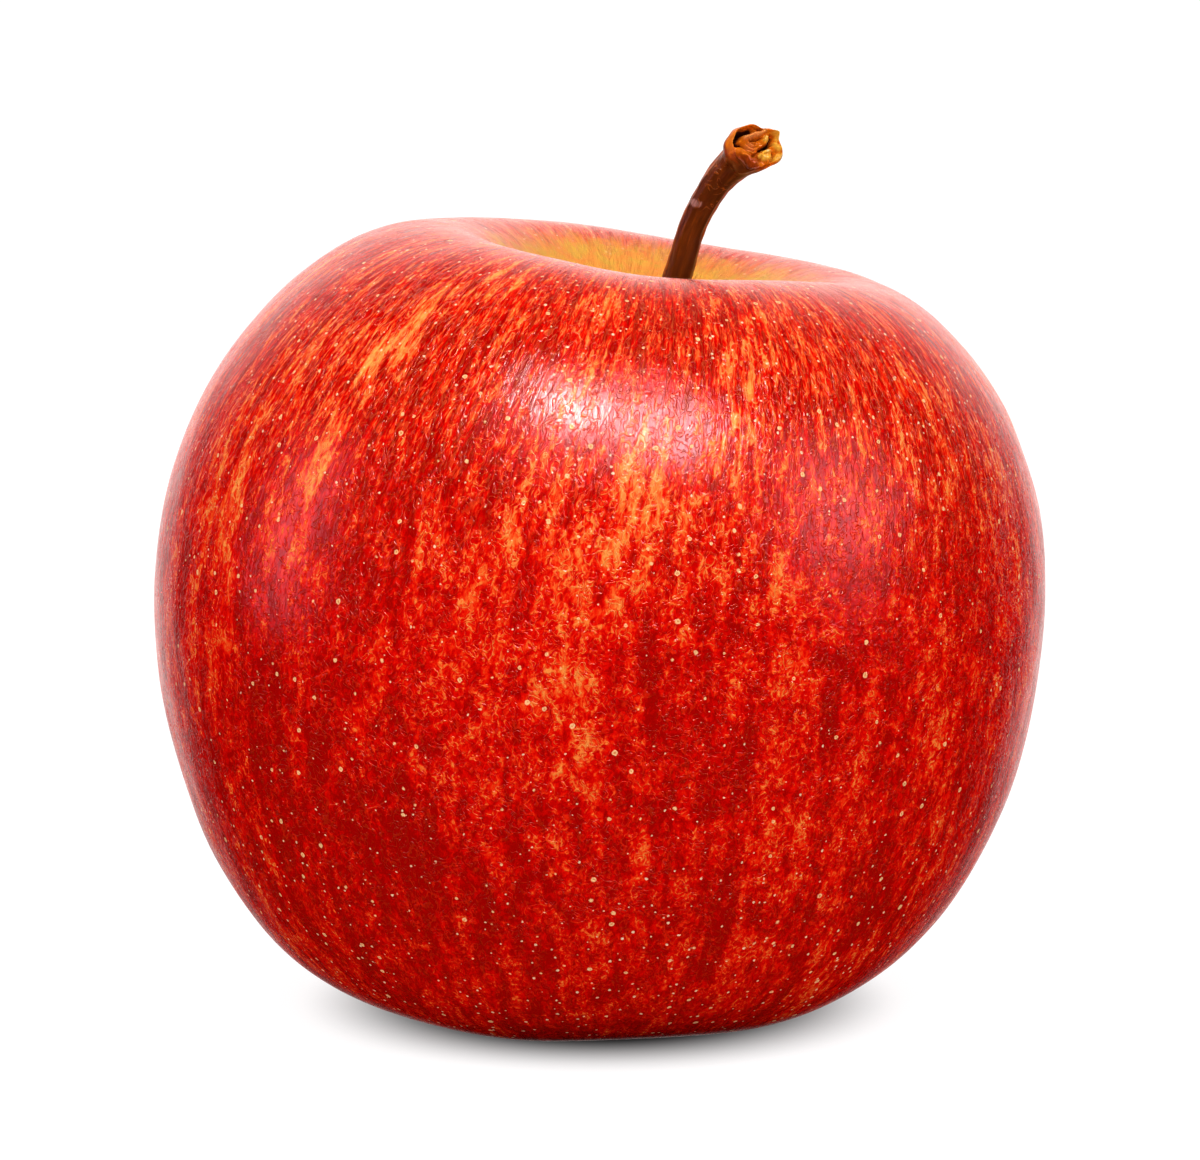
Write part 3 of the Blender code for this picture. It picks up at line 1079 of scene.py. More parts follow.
    def puckered(self, points: Array, azimuth: Array) -> Array:
        """Small radial folds round the calyx, deepest on the basin's wall and gone at foot and axis.

        Args:
            points: The smooth apple's points.
            azimuth: Each point's direction about the axis, in radians.

        Returns:
            The points, with those in the basin moved up or down.
        """
        radius = np.hypot(points[..., 0], points[..., 1])
        inside = self.basin_share(radius, points[..., 2], self.pucker_full)
        where = smooth_step(*self.pucker_radii, radius) * inside
        broad = np.cos(self.puckers * azimuth + 1.1 * np.sin(3.0 * azimuth))
        folds = broad + 0.5 * np.cos(self.fine_puckers * azimuth + 0.8)
        lifted = points.copy()
        lifted[..., 2] += self.pucker_height * folds * where
        return lifted

    def basin_share(self, radius: Array, height: Array, full: float) -> Array:
        """How far each place is inside the calyx basin.

        Args:
            radius: How far the place is from the axis.
            height: How high it is.
            full: The radius within which the share is full.

        Returns:
            The share, from 0 outside to 1 inside.
        """
        return smooth_fall(full, self.basin_radius, radius) * smooth_fall(*self.basin_heights, height)

    def red(self, grid: Array, azimuth: Array) -> Array:
        """The broad amount of red: full on the flank, deeper at foot and shoulder, and the patches.

        Args:
            grid: The skin's points, in millimetres.
            azimuth: Each point's direction about the axis, in radians.

        Returns:
            The amount of red at each point.
        """
        turn = azimuth + math.pi / 2.0
        height = grid[..., 2]
        amount = self.flank_red + self.foot_red * smooth_fall(*self.foot_red_heights, height)
        amount = amount + self.shoulder_red * smooth_step(*self.shoulder_red_heights, height)
        for patch in self.patches:
            away = np.degrees(turned_from(turn, math.radians(patch.turn)))
            spot = bell(away, patch.half_turn) * bell(height - patch.height, patch.half_height)
            amount = amount + patch.amount * spot
        return amount

    def down(self, outline: Array) -> Array:
        """How far down the skin each row is; a millimetre counts for less at the shoulder.

        The pattern is stretched along the shoulder by it, so that the streaks run longer there.

        Args:
            outline: The half outline.

        Returns:
            One number for each row.
        """
        steps = np.linalg.norm(np.diff(outline, axis=0), axis=1)
        steps = steps / (1.0 + self.streak_stretch * smooth_step(*self.shoulder, outline[1:, 2]))
        return np.concatenate([[0.0], np.cumsum(steps)])

    def build(self) -> bpy.types.Object:
        """The skin, with its flow, its amount of red and its zones as attributes.

        Returns:
            The skin object.
        """
        outline = self.outline()
        azimuth = np.broadcast_to(round_turn(self.columns), (self.rows, self.columns))
        radius = np.broadcast_to(outline[:, 0, None], azimuth.shape)
        height = np.broadcast_to(outline[:, 2, None], azimuth.shape)
        down = np.broadcast_to(self.down(outline)[:, None], azimuth.shape)
        points = self.leaned(self.uneven(self.puckered(self.lobed(radius, height, azimuth), azimuth)))
        points[..., 2] = np.maximum(points[..., 2], 0.0)
        grid = fitted(points * MM, self.node)
        top = int(np.argmax(outline[:, 2]))
        upper = np.arange(self.rows)[:, None] < top
        x, y = self.flow_radius * np.cos(azimuth), self.flow_radius * np.sin(azimuth)
        fields = {
            "flow": np.stack([x, y, down], axis=-1),
            "blush": self.red(grid / MM, azimuth),
            "shoulder": smooth_step(*self.shoulder, height),
            "foot": smooth_fall(*self.foot_heights, height),
            # The lip band carries the cavity rim's paler skin and partly a painted sheen.
            "lip": bell(radius - self.lip_radius, self.lip_width) * smooth_step(*self.lip_heights, height),
            "cavity": np.where(upper, smooth_fall(*self.cavity_radii, radius), 0.0),
            "socket": np.where(upper, smooth_fall(*self.socket_radii, radius), 0.0),
            "basin": np.where(upper, 0.0, self.basin_share(radius, height, self.basin_middle)),
        }
        return Surface(grid).build(self.name, fields)


class Tissue(Enum):
    """What a fold of the stem's torn end is made of."""

    BARK = "bark"
    FOLD = "fold"
    PITH = "pith"


@dataclass(frozen=True)
class Fold:
    """A ridge or, where its height is negative, a groove along a line on the torn end, in its radii."""

    start: tuple[float, float]
    end: tuple[float, float]
    width: float
    height: float
    tissue: Tissue = Tissue.BARK

    def share(self, across: Array, up: Array) -> Array:
        """How much of the fold is at each place: a bell over the distance to its line.

        Args:
            across: Places on the torn end, to the right of its middle, in its radii.
            up: The same places above its middle.

        Returns:
            The share at each place.
        """
        x, y = self.end[0] - self.start[0], self.end[1] - self.start[1]
        along = (across - self.start[0]) * x + (up - self.start[1]) * y
        run = np.clip(along / (x * x + y * y), 0.0, 1.0)
        away = np.hypot(across - self.start[0] - run * x, up - self.start[1] - run * y)
        return bell(away, self.width)


@dataclass
class Stem:
    """The stem: a ribbed tube along its course, flaring to a torn end with a bark rim, folds and pith.

    Each knot is a place and a radius. A run is a share of the stem's length from its root. The scar's turn
    is in radians from the front, and that of the painted shade under the end in degrees from the torn end's
    right. Places and sizes on the torn end are in its radii.
    """

    name: str = "stem_wood"
    node: str = "stem"
    columns: int = 144
    shaft_rows: int = 220
    face_rows: int = 64
    root_radius: float = 1.6
    root_heights: tuple[float, float] = (50.1, 52.0)
    knots: tuple[tuple[float, float, float, float], ...] = (
        (7.5, -0.3, 66.1, 1.30),
        (9.0, -1.0, 71.0, 1.24),
        (11.3, -2.4, 75.0, 1.36),
        (13.0, -3.8, 76.9, 1.70),
        (13.9, -5.3, 77.8, 2.32),
        (14.4, -6.0, 78.1, 2.32),
    )
    knobs: tuple[Grade, ...] = (Grade(0.05, 1.6, 11), Grade(0.03, 0.7, 12))
    face_grain: tuple[Grade, ...] = (Grade(0.030, 0.30, 21), Grade(0.015, 0.14, 22))
    face_way: tuple[float, float, float] = (0.30, -0.85, 0.42)
    face_turns: tuple[float, float] = (0.91, 0.985)
    flare_from: float = 0.90
    lip_width: float = 0.12
    lip_height: float = 0.10
    scar_run: float = 0.735
    scar_turn: float = -0.75
    flow_radius: float = 1.5
    flow_spread: float = 1.5
    flow_length: float = 30.0
    flow_face: float = 2.3
    darker_spot: tuple[float, float] = (-0.50, -0.70)
    darker_spot_size: float = 0.42
    warm_from: float = 0.95
    shaded_underside_turn: float = -125.0
    folds: tuple[Fold, ...] = (
        Fold((-0.34, 0.42), (0.48, 0.70), 0.13, 0.34, Tissue.FOLD),
        Fold((0.84, 0.46), (0.88, 0.30), 0.20, 0.26, Tissue.PITH),
        Fold((0.76, 0.04), (0.82, -0.08), 0.16, 0.30, Tissue.PITH),
        Fold((0.50, 0.36), (0.42, 0.26), 0.13, 0.18, Tissue.PITH),
        Fold((0.28, -0.18), (0.46, -0.12), 0.10, 0.20, Tissue.PITH),
        Fold((0.28, -0.44), (0.46, -0.40), 0.22, 0.26, Tissue.PITH),
        Fold((0.06, -0.48), (0.10, -0.36), 0.09, 0.20, Tissue.PITH),
        Fold((0.72, -0.50), (0.80, -0.38), 0.18, 0.24, Tissue.PITH),
        Fold((-0.62, -0.10), (-0.20, -0.46), 0.22, 0.20),
        Fold((-0.10, -0.74), (0.24, -0.78), 0.20, 0.14),
        Fold((-0.85, 0.26), (-0.56, 0.16), 0.07, -0.40),
        Fold((-0.56, 0.16), (-0.14, -0.30), 0.055, -0.40),
        Fold((-0.14, -0.30), (0.14, -0.16), 0.045, -0.24),
        Fold((-0.84, 0.30), (-0.56, 0.64), 0.10, -0.55),
        Fold((-0.56, 0.64), (-0.10, 0.76), 0.11, -0.55),
        Fold((0.30, 0.84), (0.42, 0.84), 0.06, -0.40),
        Fold((0.62, 0.74), (0.90, 0.62), 0.05, -0.40),
        Fold((-0.16, 0.34), (0.30, 0.44), 0.05, -0.26),
        Fold((0.62, 0.40), (0.56, 0.12), 0.06, -0.40),
        Fold((0.56, 0.10), (0.22, -0.04), 0.07, -0.36),
        Fold((0.60, -0.24), (0.56, -0.56), 0.045, -0.22),
        Fold((0.20, -0.92), (0.70, -0.70), 0.045, -0.34),
    )

    def course(self, fruit: Fruit) -> Array:
        """The middle of the stem with its radius, from its root in the fruit's socket to its end.

        Args:
            fruit: The fruit that it grows from, whose lean carries the root.

        Returns:
            Rows of x, y, z and radius.
        """
        root = fruit.leaned(np.array([[0.0, 0.0, height] for height in self.root_heights]))
        root = np.column_stack([root, [self.root_radius] * 2])
        return even_course(hermite_course(np.vstack([root, self.knots]), 40), self.shaft_rows)

    def frames(self, course: Array) -> tuple[Array, Array, Array]:
        """The directions at each row of the course.

        Args:
            course: The stem's course.

        Returns:
            Unit vectors along it, towards its front and towards its right.
        """
        turned = smooth_step(*self.face_turns, np.linspace(0.0, 1.0, len(course)))[:, None]
        forward = unit(np.gradient(course[:, :3], axis=0))
        along = unit(forward * (1.0 - turned) + unit(np.array(self.face_way)) * turned)
        front = np.array([0.0, -1.0, 0.0])
        front = unit(front - along * (along @ front)[:, None])
        return along, front, np.cross(along, front)

    def shaft_radius(self, course: Array, turn: Array) -> Array:
        """The radius over rows and columns: the course's, with ribs, knobs and the scar's small step.

        Args:
            course: The stem's course.
            turn: The angle of each column, from the front.

        Returns:
            The radius at each row and column.
        """
        run = np.linspace(0.0, 1.0, self.shaft_rows)[:, None]
        circle = np.stack(np.broadcast_arrays(np.cos(turn), np.sin(turn), run * 14.0), axis=-1)
        ribs = 0.030 * np.cos(5.0 * turn + 4.0 * run) + 0.022 * np.cos(9.0 * turn - 3.0 * run + 1.0)
        knobs = sum(grade.over(circle) for grade in self.knobs)
        swell = smooth_step(0.35, 0.6, run)
        scar = 0.05 * bell(run - self.scar_run, 0.012) * bell(turned_from(turn, self.scar_turn), 0.8)
        return course[:, 3, None] * (1.0 + (ribs + knobs) * (0.35 + 0.65 * swell) + scar)

    def face_height(self, across: Array, up: Array) -> Array:
        """How far the torn end stands out, in shares of its radius.

        Inside the bark's rim it drops a little to a floor that carries the folds; thin curved pleats,
        the cosine of the distance from a point near its top, cross its left half.

        Args:
            across: Places on the end, to the right of its middle, in its radii.
            up: The same places above its middle.

        Returns:
            The height at each place.
        """
        reach = np.hypot(across, up)
        inner = smooth_fall(0.90, 0.98, reach)
        floor = -0.16 * smooth_fall(0.84, 0.97, reach)
        pleat_reach = np.hypot(across - 0.02, up - 0.42)
        pleats = 0.07 * np.cos(42.0 * pleat_reach) * self.pleated(across, up)
        places = np.stack([across, up, np.zeros_like(up)], axis=-1)
        rough = sum(grade.over(places) for grade in self.face_grain)
        folds = sum(fold.height * fold.share(across, up) for fold in self.folds)
        return floor + (pleats + rough + folds) * inner

    def pleated(self, across: Array, up: Array) -> Array:
        """How far each place on the torn end lies in its pleated part, left of the middle."""
        return bell(np.hypot(across + 0.16, up - 0.06), 0.34)

    def rim(self, angle: Array) -> Array:
        """The torn rim's outline: uneven, pinched at the left, with one pointed tongue at the right.

        Args:
            angle: Directions on the end, in radians from its right.

        Returns:
            The rim's radius in each direction, as a share of the end's.
        """
        tongue = 0.16 * np.maximum(0.0, 1.0 - np.abs(angle - math.radians(27.0)) / 0.22)
        pinch = 0.10 * bell(turned_from(angle, math.radians(190.0)), 0.6)
        uneven = 0.09 * np.cos(2.0 * angle) + 0.03 * np.cos(3.0 * angle + 0.4)
        ragged = 0.025 * np.cos(7.0 * angle + 2.0)
        return 1.0 + uneven + ragged - pinch + tongue

    def tissue(self, kind: Tissue, across: Array, up: Array) -> Array:
        """How much of one tissue is at each place on the torn end: the most that any fold of it has."""
        return np.max([fold.share(across, up) for fold in self.folds if fold.tissue is kind], axis=0)

    def face_inward(self) -> Array:
        """How far out the torn end's rows are, in its radii, from inside the rim to the middle."""
        return np.linspace(1.0, 0.0, self.face_rows + 1)[1:, None]

    def shaft_fields(self, turn: Array, angle: Array) -> dict[str, Array]:
        """What the bark's finish reads along the whole stem.

        Args:
            turn: The angle of each column, from the front.
            angle: The angle of each column on the torn end, from its right.

        Returns:
            The fields over the whole grid: flow, the warm colour towards the end less a painted shade on
                its underside and a darker spot, scar, worm lines and a painted rim light along both sides.
        """
        inward = self.face_inward()
        outside = np.ones(self.shaft_rows + 1)
        circle = np.broadcast_to(turn, (self.shaft_rows + 1 + self.face_rows, self.columns))
        run = np.concatenate([[0.0], np.linspace(0.0, 1.0, self.shaft_rows), np.ones(self.face_rows)])
        run = np.broadcast_to(run[:, None], circle.shape)
        over_face = np.concatenate([outside * 0.0, 1.0 - inward[:, 0]])[:, None]
        girth = self.flow_radius * np.concatenate([outside, inward[:, 0] * self.flow_spread])[:, None]
        travelled = run * self.flow_length + over_face * self.flow_face
        side = turned_from(circle, self.scar_turn)
        # Painted shade on the torn end's underside: less warmth there, over the shaft and the end's rim.
        under = bell(turned_from(angle, math.radians(self.shaded_underside_turn)), 0.75)
        edge = np.concatenate([outside, smooth_step(0.74, 0.92, inward[:, 0])])[:, None]
        # A darker spot on the torn end's lower left: less warmth there.
        right, above = self.darker_spot
        away = np.hypot(inward * np.cos(angle) - right, inward * np.sin(angle) - above)
        darker_spot = bell(away, self.darker_spot_size)
        warmth_and_shade = smooth_step(self.warm_from, 1.0, run + 0.012 * np.cos(angle - math.radians(150.0)))
        warmth_and_shade = warmth_and_shade * (1.0 - 0.85 * under * edge)
        warmth_and_shade[-self.face_rows:] *= 1.0 - 0.85 * darker_spot
        return {
            "flow": np.stack([girth * np.cos(circle), girth * np.sin(circle), travelled], axis=-1),
            "flare": warmth_and_shade,
            "scar": bell(run - self.scar_run - 0.010 * side, 0.015) * bell(side, 0.75),
            "worms": smooth_step(0.70, 0.76, run) * smooth_fall(0.90, 0.95, run),
            # Painted rim light along both sides of the stem, as the front sees them.
            "margin": smooth_step(0.86, 0.98, np.abs(np.sin(circle))) * (run < 0.97),
        }

    def face_fields(self, across: Array, up: Array, height: Array) -> dict[str, Array]:
        """What the torn end's finish reads: folds, pith and the depth of its grooves for painted shade, all
        of them nought along the bark.

        Args:
            across: The end's grid, to the right of its middle, in its radii.
            up: The same places above its middle.
            height: How far they stand out, in its radii.

        Returns:
            The fields over the whole grid.
        """
        bare = np.zeros((self.shaft_rows + 1, self.columns))
        folded = np.maximum(self.tissue(Tissue.FOLD, across, up), self.pleated(across, up) * 0.75)
        return {
            "fold": np.vstack([bare, folded]),
            "pith": np.vstack([bare, self.tissue(Tissue.PITH, across, up)]),
            # How deep each groove is, for the painted shade in it.
            "crevice": np.vstack([bare, smooth_step(0.08, 0.34, -(height + 0.14))]),
        }

    def build(self, fruit: Fruit) -> bpy.types.Object:
        """The stem as one closed surface: root pole, shaft, rim with its lip, and the torn end inside it.

        Args:
            fruit: The fruit that it grows from.

        Returns:
            The stem object.
        """
        course = self.course(fruit)
        along, front, right = self.frames(course)
        turn = round_turn(self.columns)[None, :]
        spoke = front[:, None] * np.cos(turn)[..., None] + right[:, None] * np.sin(turn)[..., None]
        face_right = unit(np.cross([0.0, 0.0, 1.0], along[-1]))
        face_up = np.cross(along[-1], face_right)
        angle = np.arctan2(spoke[-1] @ face_up, spoke[-1] @ face_right)
        flare = smooth_step(self.flare_from, 1.0, np.linspace(0.0, 1.0, self.shaft_rows)[:, None])
        radius = self.shaft_radius(course, turn) * (1.0 + (self.rim(angle) - 1.0) * flare)
        shaft = course[:, None, :3] + spoke * radius[..., None]

        inward = self.face_inward()
        across, up = inward * np.cos(angle), inward * np.sin(angle)
        height = self.face_height(across, up)
        share = np.clip((1.0 - inward) / self.lip_width, 0.0, 1.0)
        stand = (height + self.lip_height * np.sin(math.pi * share)) * course[-1, 3]
        reach = spoke[-1] * (inward * radius[-1])[..., None]
        face = course[-1, :3] + reach + along[-1] * stand[..., None]
        root = np.broadcast_to(course[0, :3], (1, self.columns, 3))
        grid = fitted(np.vstack([root, shaft, face]) * MM, self.node)
        fields = self.shaft_fields(turn, angle) | self.face_fields(across, up, height)
        return Surface(grid).build(self.name, fields)


@dataclass
class Sepal:
    """One withered sepal: a pointed blade with a midrib, rolled edges and a crumpled tip."""

    number: int
    rows: int = 56
    columns: int = 40
    thickness: float = 0.30
    crumples: tuple[Grade, ...] = (Grade(0.22, 2.2, 40), Grade(0.08, 0.9, 50))
    first_turn: float = -26.0
    count: int = 5
    knots: tuple[tuple[float, float, float], ...] = (
        (4.1, 6.1, 3.2),
        (3.4, 5.5, 3.4),
        (2.6, 4.5, 2.8),
        (2.3, 3.4, 2.0),
        (2.8, 2.3, 1.2),
        (4.0, 1.6, 0.3),
    )

    @property
    def node(self) -> str:
        """The CAD node that it stands for."""
        return f"sepal_{self.number}"

    def blade(self) -> Array:
        """A flattened tube: an ellipse across the course, bent inwards at its edges and crumpled.

        Returns:
            Its grid of points in millimetres, as it lies before it is turned to its place.
        """
        knots = np.array([(reach, 0.0, height, width) for reach, height, width in self.knots])
        course = even_course(hermite_course(knots, 12), self.rows)
        along = unit(np.gradient(course[:, :3], axis=0))
        across = np.array([0.0, 1.0, 0.0])
        face = np.cross(along, across)
        turn = round_turn(self.columns)[None, :]
        half = course[:, 3, None] / 2.0
        side = np.cos(turn) * half
        thick = np.minimum(self.thickness, course[:, 3, None] * 0.6) / 2.0
        run = np.linspace(0.0, 1.0, self.rows)[:, None]
        rolled = 0.35 * np.square(np.cos(turn)) * half * (0.4 + 0.6 * run)
        rib = 0.12 * bell(np.cos(turn), 0.16) * np.sign(np.sin(turn)) * (1.0 - run)
        out = np.sin(turn) * thick + rolled + rib
        grid = course[:, None, :3] + across * side[..., None] + face[:, None] * out[..., None]
        crumple = sum(grade.over(grid, self.number) for grade in self.crumples)
        grid = grid + face[:, None] * (crumple * smooth_step(0.05, 0.6, run))[..., None]
        ends = [np.broadcast_to(grid[row].mean(axis=0), (1, self.columns, 3)) for row in (0, -1)]
        return np.vstack([ends[0], grid, ends[1]])

    def build(self) -> bpy.types.Object:
        """The blade turned about the axis to its place in the ring.

        Returns:
            The sepal object.
        """
        grid = self.blade()
        spin = math.radians(self.first_turn + 360.0 * (self.number - 1) / self.count)
        x = grid[..., 0] * math.cos(spin) - grid[..., 1] * math.sin(spin)
        y = grid[..., 0] * math.sin(spin) + grid[..., 1] * math.cos(spin)
        placed = np.stack([x, y, grid[..., 2]], axis=-1)
        fields = {"flow": np.stack([grid[..., 1], grid[..., 1] * 0.0, grid[..., 2]], axis=-1)}
        return Surface(fitted(placed * MM, self.node)).build(f"{self.node}_leaf", fields)


@dataclass
class Tuft:
    """The dried stamens: a short stub with a ring of curling filaments that end in withered anthers.

    The reach says how far from the axis a filament starts and, at most, ends. The tips are the height of
    the lowest end.
    """

    node: str = "stamens"
    count: int = 12
    rows: int = 48
    columns: int = 18
    stub_radius: float = 1.2
    stub_top: float = 7.5
    stub_foot: float = 6.0
    filament_top: float = 6.4
    reach: tuple[float, float] = (0.75, 1.7)
    tips: float = 3.3
    thickness: float = 0.22
    anther: float = 0.46

    def stub(self) -> Array:
        """A round button: its radius is the square root of 1 less the fourth power of the place along it.

        Returns:
            Its grid of points, in millimetres.
        """
        run = np.linspace(-1.0, 1.0, self.rows)[:, None]
        turn = round_turn(self.columns)
        radius = self.stub_radius * np.sqrt(1.0 - run**4)
        height = self.stub_top + (self.stub_foot - self.stub_top) * (run + 1.0) / 2.0
        x, y = radius * np.cos(turn), radius * np.sin(turn)
        return np.stack([x, y, height * np.ones_like(turn)], axis=-1)

    def filament(self, number: int) -> Array:
        """A thin tube that runs down and outwards, sways to one side and swells at its end.

        Args:
            number: Which filament, counted round the ring.

        Returns:
            Its grid of points, in millimetres.
        """
        run = np.linspace(0.0, 1.0, self.rows)
        uneven = math.cos(2.9 * number)
        inner, outer = self.reach
        reach = inner + (outer - inner) * (0.8 + 0.2 * uneven) * run**1.6
        angle = 2.0 * math.pi * number / self.count + 0.22 * np.sin(4.2 * run + 1.7 * number)
        drop = (self.filament_top - self.tips) * (0.86 + 0.14 * math.sin(1.9 * number))
        height = self.filament_top - drop * run
        course = np.stack([reach * np.cos(angle), reach * np.sin(angle), height], axis=-1)
        along = unit(np.gradient(course, axis=0))
        side = unit(np.cross(along, course * np.array([1.0, 1.0, 0.0])))
        front = np.cross(side, along)
        swollen = bell(run - 0.9, 0.09)
        width = self.thickness * (1.0 - 0.4 * run) + (self.anther - self.thickness) * swollen
        radius = width / 2.0 * np.sqrt(1.0 - (2.0 * run - 1.0) ** 12)
        turn = round_turn(self.columns)
        ring = side[:, None] * np.cos(turn)[:, None] + front[:, None] * np.sin(turn)[:, None]
        pinch = 1.0 + 0.28 * np.cos(2.0 * turn) * swollen[:, None]
        return course[:, None] + ring * (radius[:, None] * pinch)[..., None]

    def build(self) -> list[bpy.types.Object]:
        """The stub and its filaments, scaled together to fill the node's box.

        Returns:
            The stub and then the filaments.
        """
        grids = np.stack([self.stub()] + [self.filament(number) for number in range(self.count)])
        names = ["stamens_stub"] + [f"stamen_{number + 1}" for number in range(self.count)]
        pieces = []
        for name, grid in zip(names, fitted(grids * MM, self.node)):
            pieces.append(Surface(grid).build(name, {"flow": grid / MM}))
        return pieces


# ---------------------------------------------------------------------------------------------- the studio

def heading(turn: float, rise: float) -> tuple[float, float, float]:
    """The unit vector that points so many degrees right of the front and so many up."""
    right, up = math.radians(turn), math.radians(rise)
    return math.sin(right) * math.cos(up), -math.cos(right) * math.cos(up), math.sin(up)


@dataclass(frozen=True)
class Softbox:
    """A rectangular light that only matt surfaces catch; sizes and distance are in metres.

    It hangs so many degrees right of the front and above the apple, and faces it.
    """

    name: str
    turn: float
    rise: float
    width: float
    height: float
    brightness: float
    distance: float

    def build(self, target: Vector) -> None:
        """Hang the light; it is sampled directly only, so that no reflection finds it.

        Args:
            target: The point that it faces.
        """
        way = Vector(heading(self.turn, self.rise))
        lamp = bpy.data.lights.new(self.name, "AREA")
        lamp.shape = "RECTANGLE"
        lamp.size = self.width
        lamp.size_y = self.height
        lamp.energy = self.brightness * math.pi * self.width * self.height
        lamp.cycles.use_multiple_importance_sampling = False
        holder = bpy.data.objects.new(self.name, lamp)
        holder.location = target + way * self.distance
        holder.rotation_euler = way.to_track_quat("Z", "Y").to_euler()
        holder.visible_camera = False
        holder.visible_glossy = False
        bpy.context.scene.collection.objects.link(holder)


@dataclass(frozen=True)
class Glow:
    """A soft round light far off that only what is polished reflects: its direction and half sizes."""

    turn: float
    rise: float
    half_turn: float
    half_rise: float
    brightness: float
    tint: Colour

    def share(self, paint: Paint, way: Socket) -> Value:
        """How bright the glow is in each direction: full at its middle, gone where across^2 + up^2 is 1.

        Args:
            paint: The tree that the nodes go into.
            way: The direction that is looked at.

        Returns:
            The brightness.
        """
        axes = (
            heading(self.turn, self.rise),
            heading(self.turn + 90.0, 0.0),
            heading(self.turn, self.rise + 90.0),
        )
        shares = (paint.vector("DOT_PRODUCT", way, axis).outputs[1] for axis in axes)
        front, across, up = (Value(paint, share) for share in shares)
        across = across * (1.0 / math.sin(math.radians(self.half_turn)))
        up = up * (1.0 / math.sin(math.radians(self.half_rise)))
        return (across * across + up * up).rise(1.0, 0.0) * front.rise(0.0, 0.3) * self.brightness


@dataclass(frozen=True)
class Wall:
    """A wall far behind the apple that only polish reflects, and so shows along its rims.

    It fades in over a span of how far a direction points to the back, and over one of how far it points
    up, both from -1 to 1.
    """

    back: tuple[float, float]
    up: tuple[float, float]
    brightness: float

    def share(self, back: Value, up: Value) -> Value:
        """How bright the wall is in each direction, given how far back and up that points."""
        return back.rise(*self.back) * up.rise(*self.up) * self.brightness


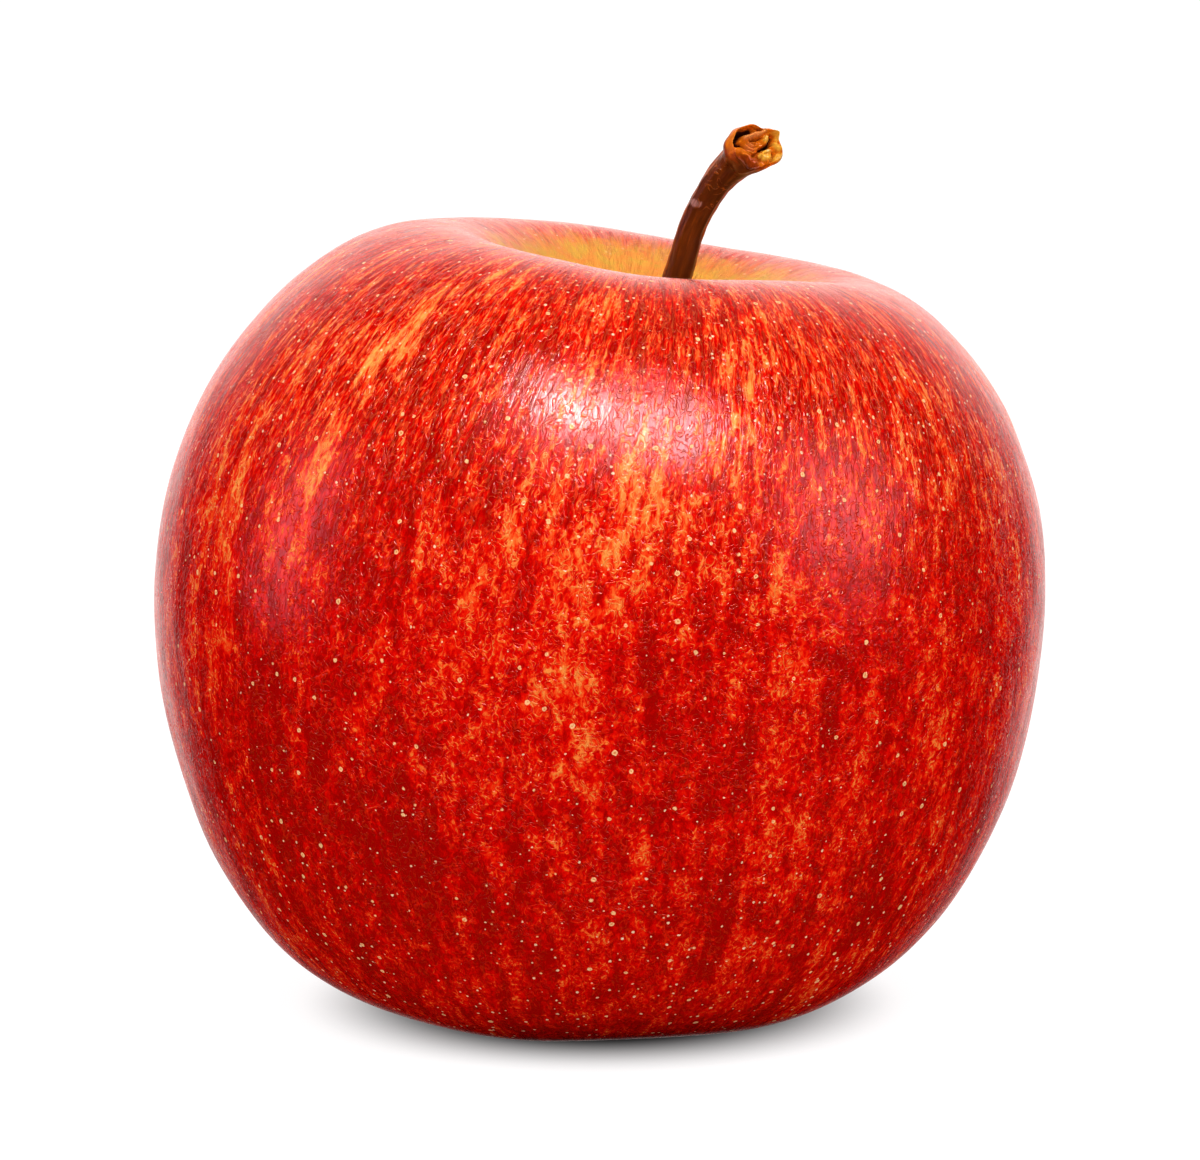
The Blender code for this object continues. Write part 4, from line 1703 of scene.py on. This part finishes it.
@dataclass
class Studio:
    """The camera at a low angle in front, a white floor and backdrop, softboxes and glows.

    Matt surfaces are lit by the softboxes alone, and polish reflects the walls and glows alone, so the
    skin's red stays clear where no glow falls on it. Two pairs of distances from the apple's axis, in
    millimetres, give the stretches over which the floor's painted shadow fades out, as its own glow rises,
    and the light under the floor begins to pass.
    """

    distance: float = 0.700
    rise: float = 8.84
    lens: float = 233.6
    target: tuple[float, float, float] = (0.0, 0.0, 0.0385)
    floor_half: float = 6.0
    floor_tone: float = 0.13
    floor_glow: float = 0.92
    shadow_width: float = 0.88
    painted_shadow_reach: tuple[float, float] = (16.2, 32.0)
    pass_reach: tuple[float, float] = (16.0, 38.0)
    walls: tuple[Wall, Wall] = (
        Wall((0.66, 0.99), (0.0, 0.34), 1.9),
        Wall((0.78, 1.0), (-0.40, -0.17), 1.6),
    )
    wall_tone: Colour = (1.0, 0.84, 0.81)
    softboxes: tuple[Softbox, ...] = (
        Softbox("panel_top", 0.0, 90.0, 3.4, 3.4, 1.75, 2.2),
        Softbox("panel_front", 0.0, 32.0, 3.4, 2.4, 2.15, 2.2),
        Softbox("panel_left", -90.0, 32.0, 3.4, 2.4, 1.1, 2.2),
        Softbox("panel_right", 90.0, 32.0, 3.4, 2.4, 1.2, 2.2),
        Softbox("panel_back", 180.0, 32.0, 3.4, 2.4, 1.1, 2.2),
        Softbox("glow_floor", 0.0, -90.0, 3.0, 3.0, 1.0, 0.045),
    )
    glows: tuple[Glow, ...] = (
        Glow(-6.0, 62.5, 8.0, 9.0, 100.0, (1.0, 0.96, 0.91)),
        Glow(-12.0, 59.0, 24.0, 20.0, 2.0, (1.0, 0.91, 0.86)),
        Glow(30.0, 53.0, 13.0, 18.0, 38.0, (1.0, 0.78, 0.82)),
        Glow(-90.0, 15.0, 15.0, 24.0, 4.6, (1.0, 0.52, 0.62)),
        Glow(71.0, 20.0, 19.0, 22.0, 7.0, (1.0, 0.55, 0.62)),
    )

    def camera(self) -> None:
        """Place the camera on a circle about the target and look at it."""
        rise = math.radians(self.rise)
        aim = Vector(self.target)
        lens = bpy.data.cameras.new("camera")
        lens.lens = self.lens
        lens.sensor_width = 36.0
        lens.clip_start = 0.01
        holder = bpy.data.objects.new("camera", lens)
        way = Vector((0.0, -math.cos(rise), math.sin(rise)))
        holder.location = aim + way * self.distance
        holder.rotation_euler = way.to_track_quat("Z", "Y").to_euler()
        bpy.context.scene.collection.objects.link(holder)
        bpy.context.scene.camera = holder

    def floor(self) -> None:
        """Lay out a wide pale sheet, which no reflection and no light off the apple finds."""
        half = self.floor_half
        corners = [(-half, -half, 0.0), (half, -half, 0.0), (half, half, 0.0), (-half, half, 0.0)]
        mesh = bpy.data.meshes.new("floor")
        mesh.from_pydata(corners, [], [(0, 1, 2, 3)])
        slab = bpy.data.objects.new("floor", mesh)
        bpy.context.scene.collection.objects.link(slab)
        mesh.materials.append(self.paper())
        slab.visible_diffuse = False
        slab.visible_glossy = False

    def paper(self) -> bpy.types.Material:
        """The sheet's finish: a dark tone with a glow of its own, which fades out round the apple's foot
        into a painted shadow.

        The light under it passes freely, except round the apple's foot.

        Returns:
            The finished material.
        """
        material, paint = new_material("floor_paper")
        rays = paint.node("ShaderNodeLightPath").outputs
        spot = paint.stretched(paint.millimetres(), (self.shadow_width, 1.0, 1.0))
        away = Value(paint, paint.vector("LENGTH", spot).outputs["Value"])
        grain = paint.noise(paint.millimetres(), (1.2, 1.2, 1.2), 3.0)
        tone = paint.blend(grain, (self.floor_tone - 0.01,) * 3, (self.floor_tone + 0.01,) * 3)
        paper = paint.node("ShaderNodeBsdfDiffuse", None, {"Color": tone})
        # Painted shadow: the sheet's glow rises from nought round the apple's foot, so the floor there
        # stays dark.
        lit = away.rise(*self.painted_shadow_reach) * self.floor_glow
        glow = paint.node("ShaderNodeEmission", None, {"Color": (1.0, 1.0, 1.0, 1.0), "Strength": lit})
        sheet = paint.node("ShaderNodeAddShader", None, {0: paper.outputs[0], 1: glow.outputs[0]})
        clear = paint.node("ShaderNodeBsdfTransparent")
        share = Value(paint, rays["Is Shadow Ray"]) * away.rise(*self.pass_reach)
        shaders = {0: share, 1: sheet.outputs[0], 2: clear.outputs[0]}
        mixed = paint.node("ShaderNodeMixShader", None, shaders)
        paint.node("ShaderNodeOutputMaterial", None, {"Surface": mixed.outputs[0]})
        return material

    def surround(self) -> None:
        """A white backdrop, and two walls and soft glows that only what is polished reflects."""
        world = bpy.data.worlds.new("surround")
        world.use_nodes = True
        world.cycles.sampling_method = "NONE"
        bpy.context.scene.world = world
        paint = Paint(world.node_tree)
        rays = paint.node("ShaderNodeLightPath").outputs
        seen = Value(paint, rays["Is Camera Ray"])
        gloss = Value(paint, rays["Is Glossy Ray"])
        way = paint.node("ShaderNodeTexCoord").outputs["Generated"]
        axes = paint.node("ShaderNodeSeparateXYZ", None, {0: way}).outputs
        back, up = Value(paint, axes["Y"]), Value(paint, axes["Z"])
        wide, low = (wall.share(back, up) for wall in self.walls)
        light = paint.scaled(self.wall_tone, wide.above(low))
        for glow in self.glows:
            shine = paint.scaled(glow.tint, glow.share(paint, way))
            light = paint.vector("ADD", light, shine).outputs[0]
        tone = paint.blend(gloss, (1.0, 1.0, 1.0), light)
        strength = (gloss + seen).below(1.0)
        sky = paint.node("ShaderNodeBackground", None, {"Color": tone, "Strength": strength})
        paint.node("ShaderNodeOutputWorld", None, {"Surface": sky.outputs[0]})

    def build(self) -> None:
        """Set the whole studio up, with colours shown as they are."""
        bpy.context.scene.view_settings.view_transform = "Standard"
        self.camera()
        self.floor()
        self.surround()
        for softbox in self.softboxes:
            softbox.build(Vector(self.target))


def main() -> None:
    """Build the studio and the apple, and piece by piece."""
    logging.basicConfig(level=logging.INFO, format="%(name)s %(message)s")
    Studio().build()
    skin, bark, withered = (finish.material() for finish in (SkinFinish(), StemFinish(), CalyxFinish()))
    fruit, stem, tuft = Fruit(), Stem(), Tuft()
    hand_over(fruit.build(), skin, Slot.SKIN, fruit.node)
    hand_over(stem.build(fruit), bark, Slot.STEM, stem.node)
    for number in range(1, Sepal.count + 1):
        sepal = Sepal(number)
        hand_over(sepal.build(), withered, Slot.CALYX, sepal.node)
    for piece in tuft.build():
        hand_over(piece, withered, Slot.CALYX, tuft.node)


if __name__ == "__main__":
    main()
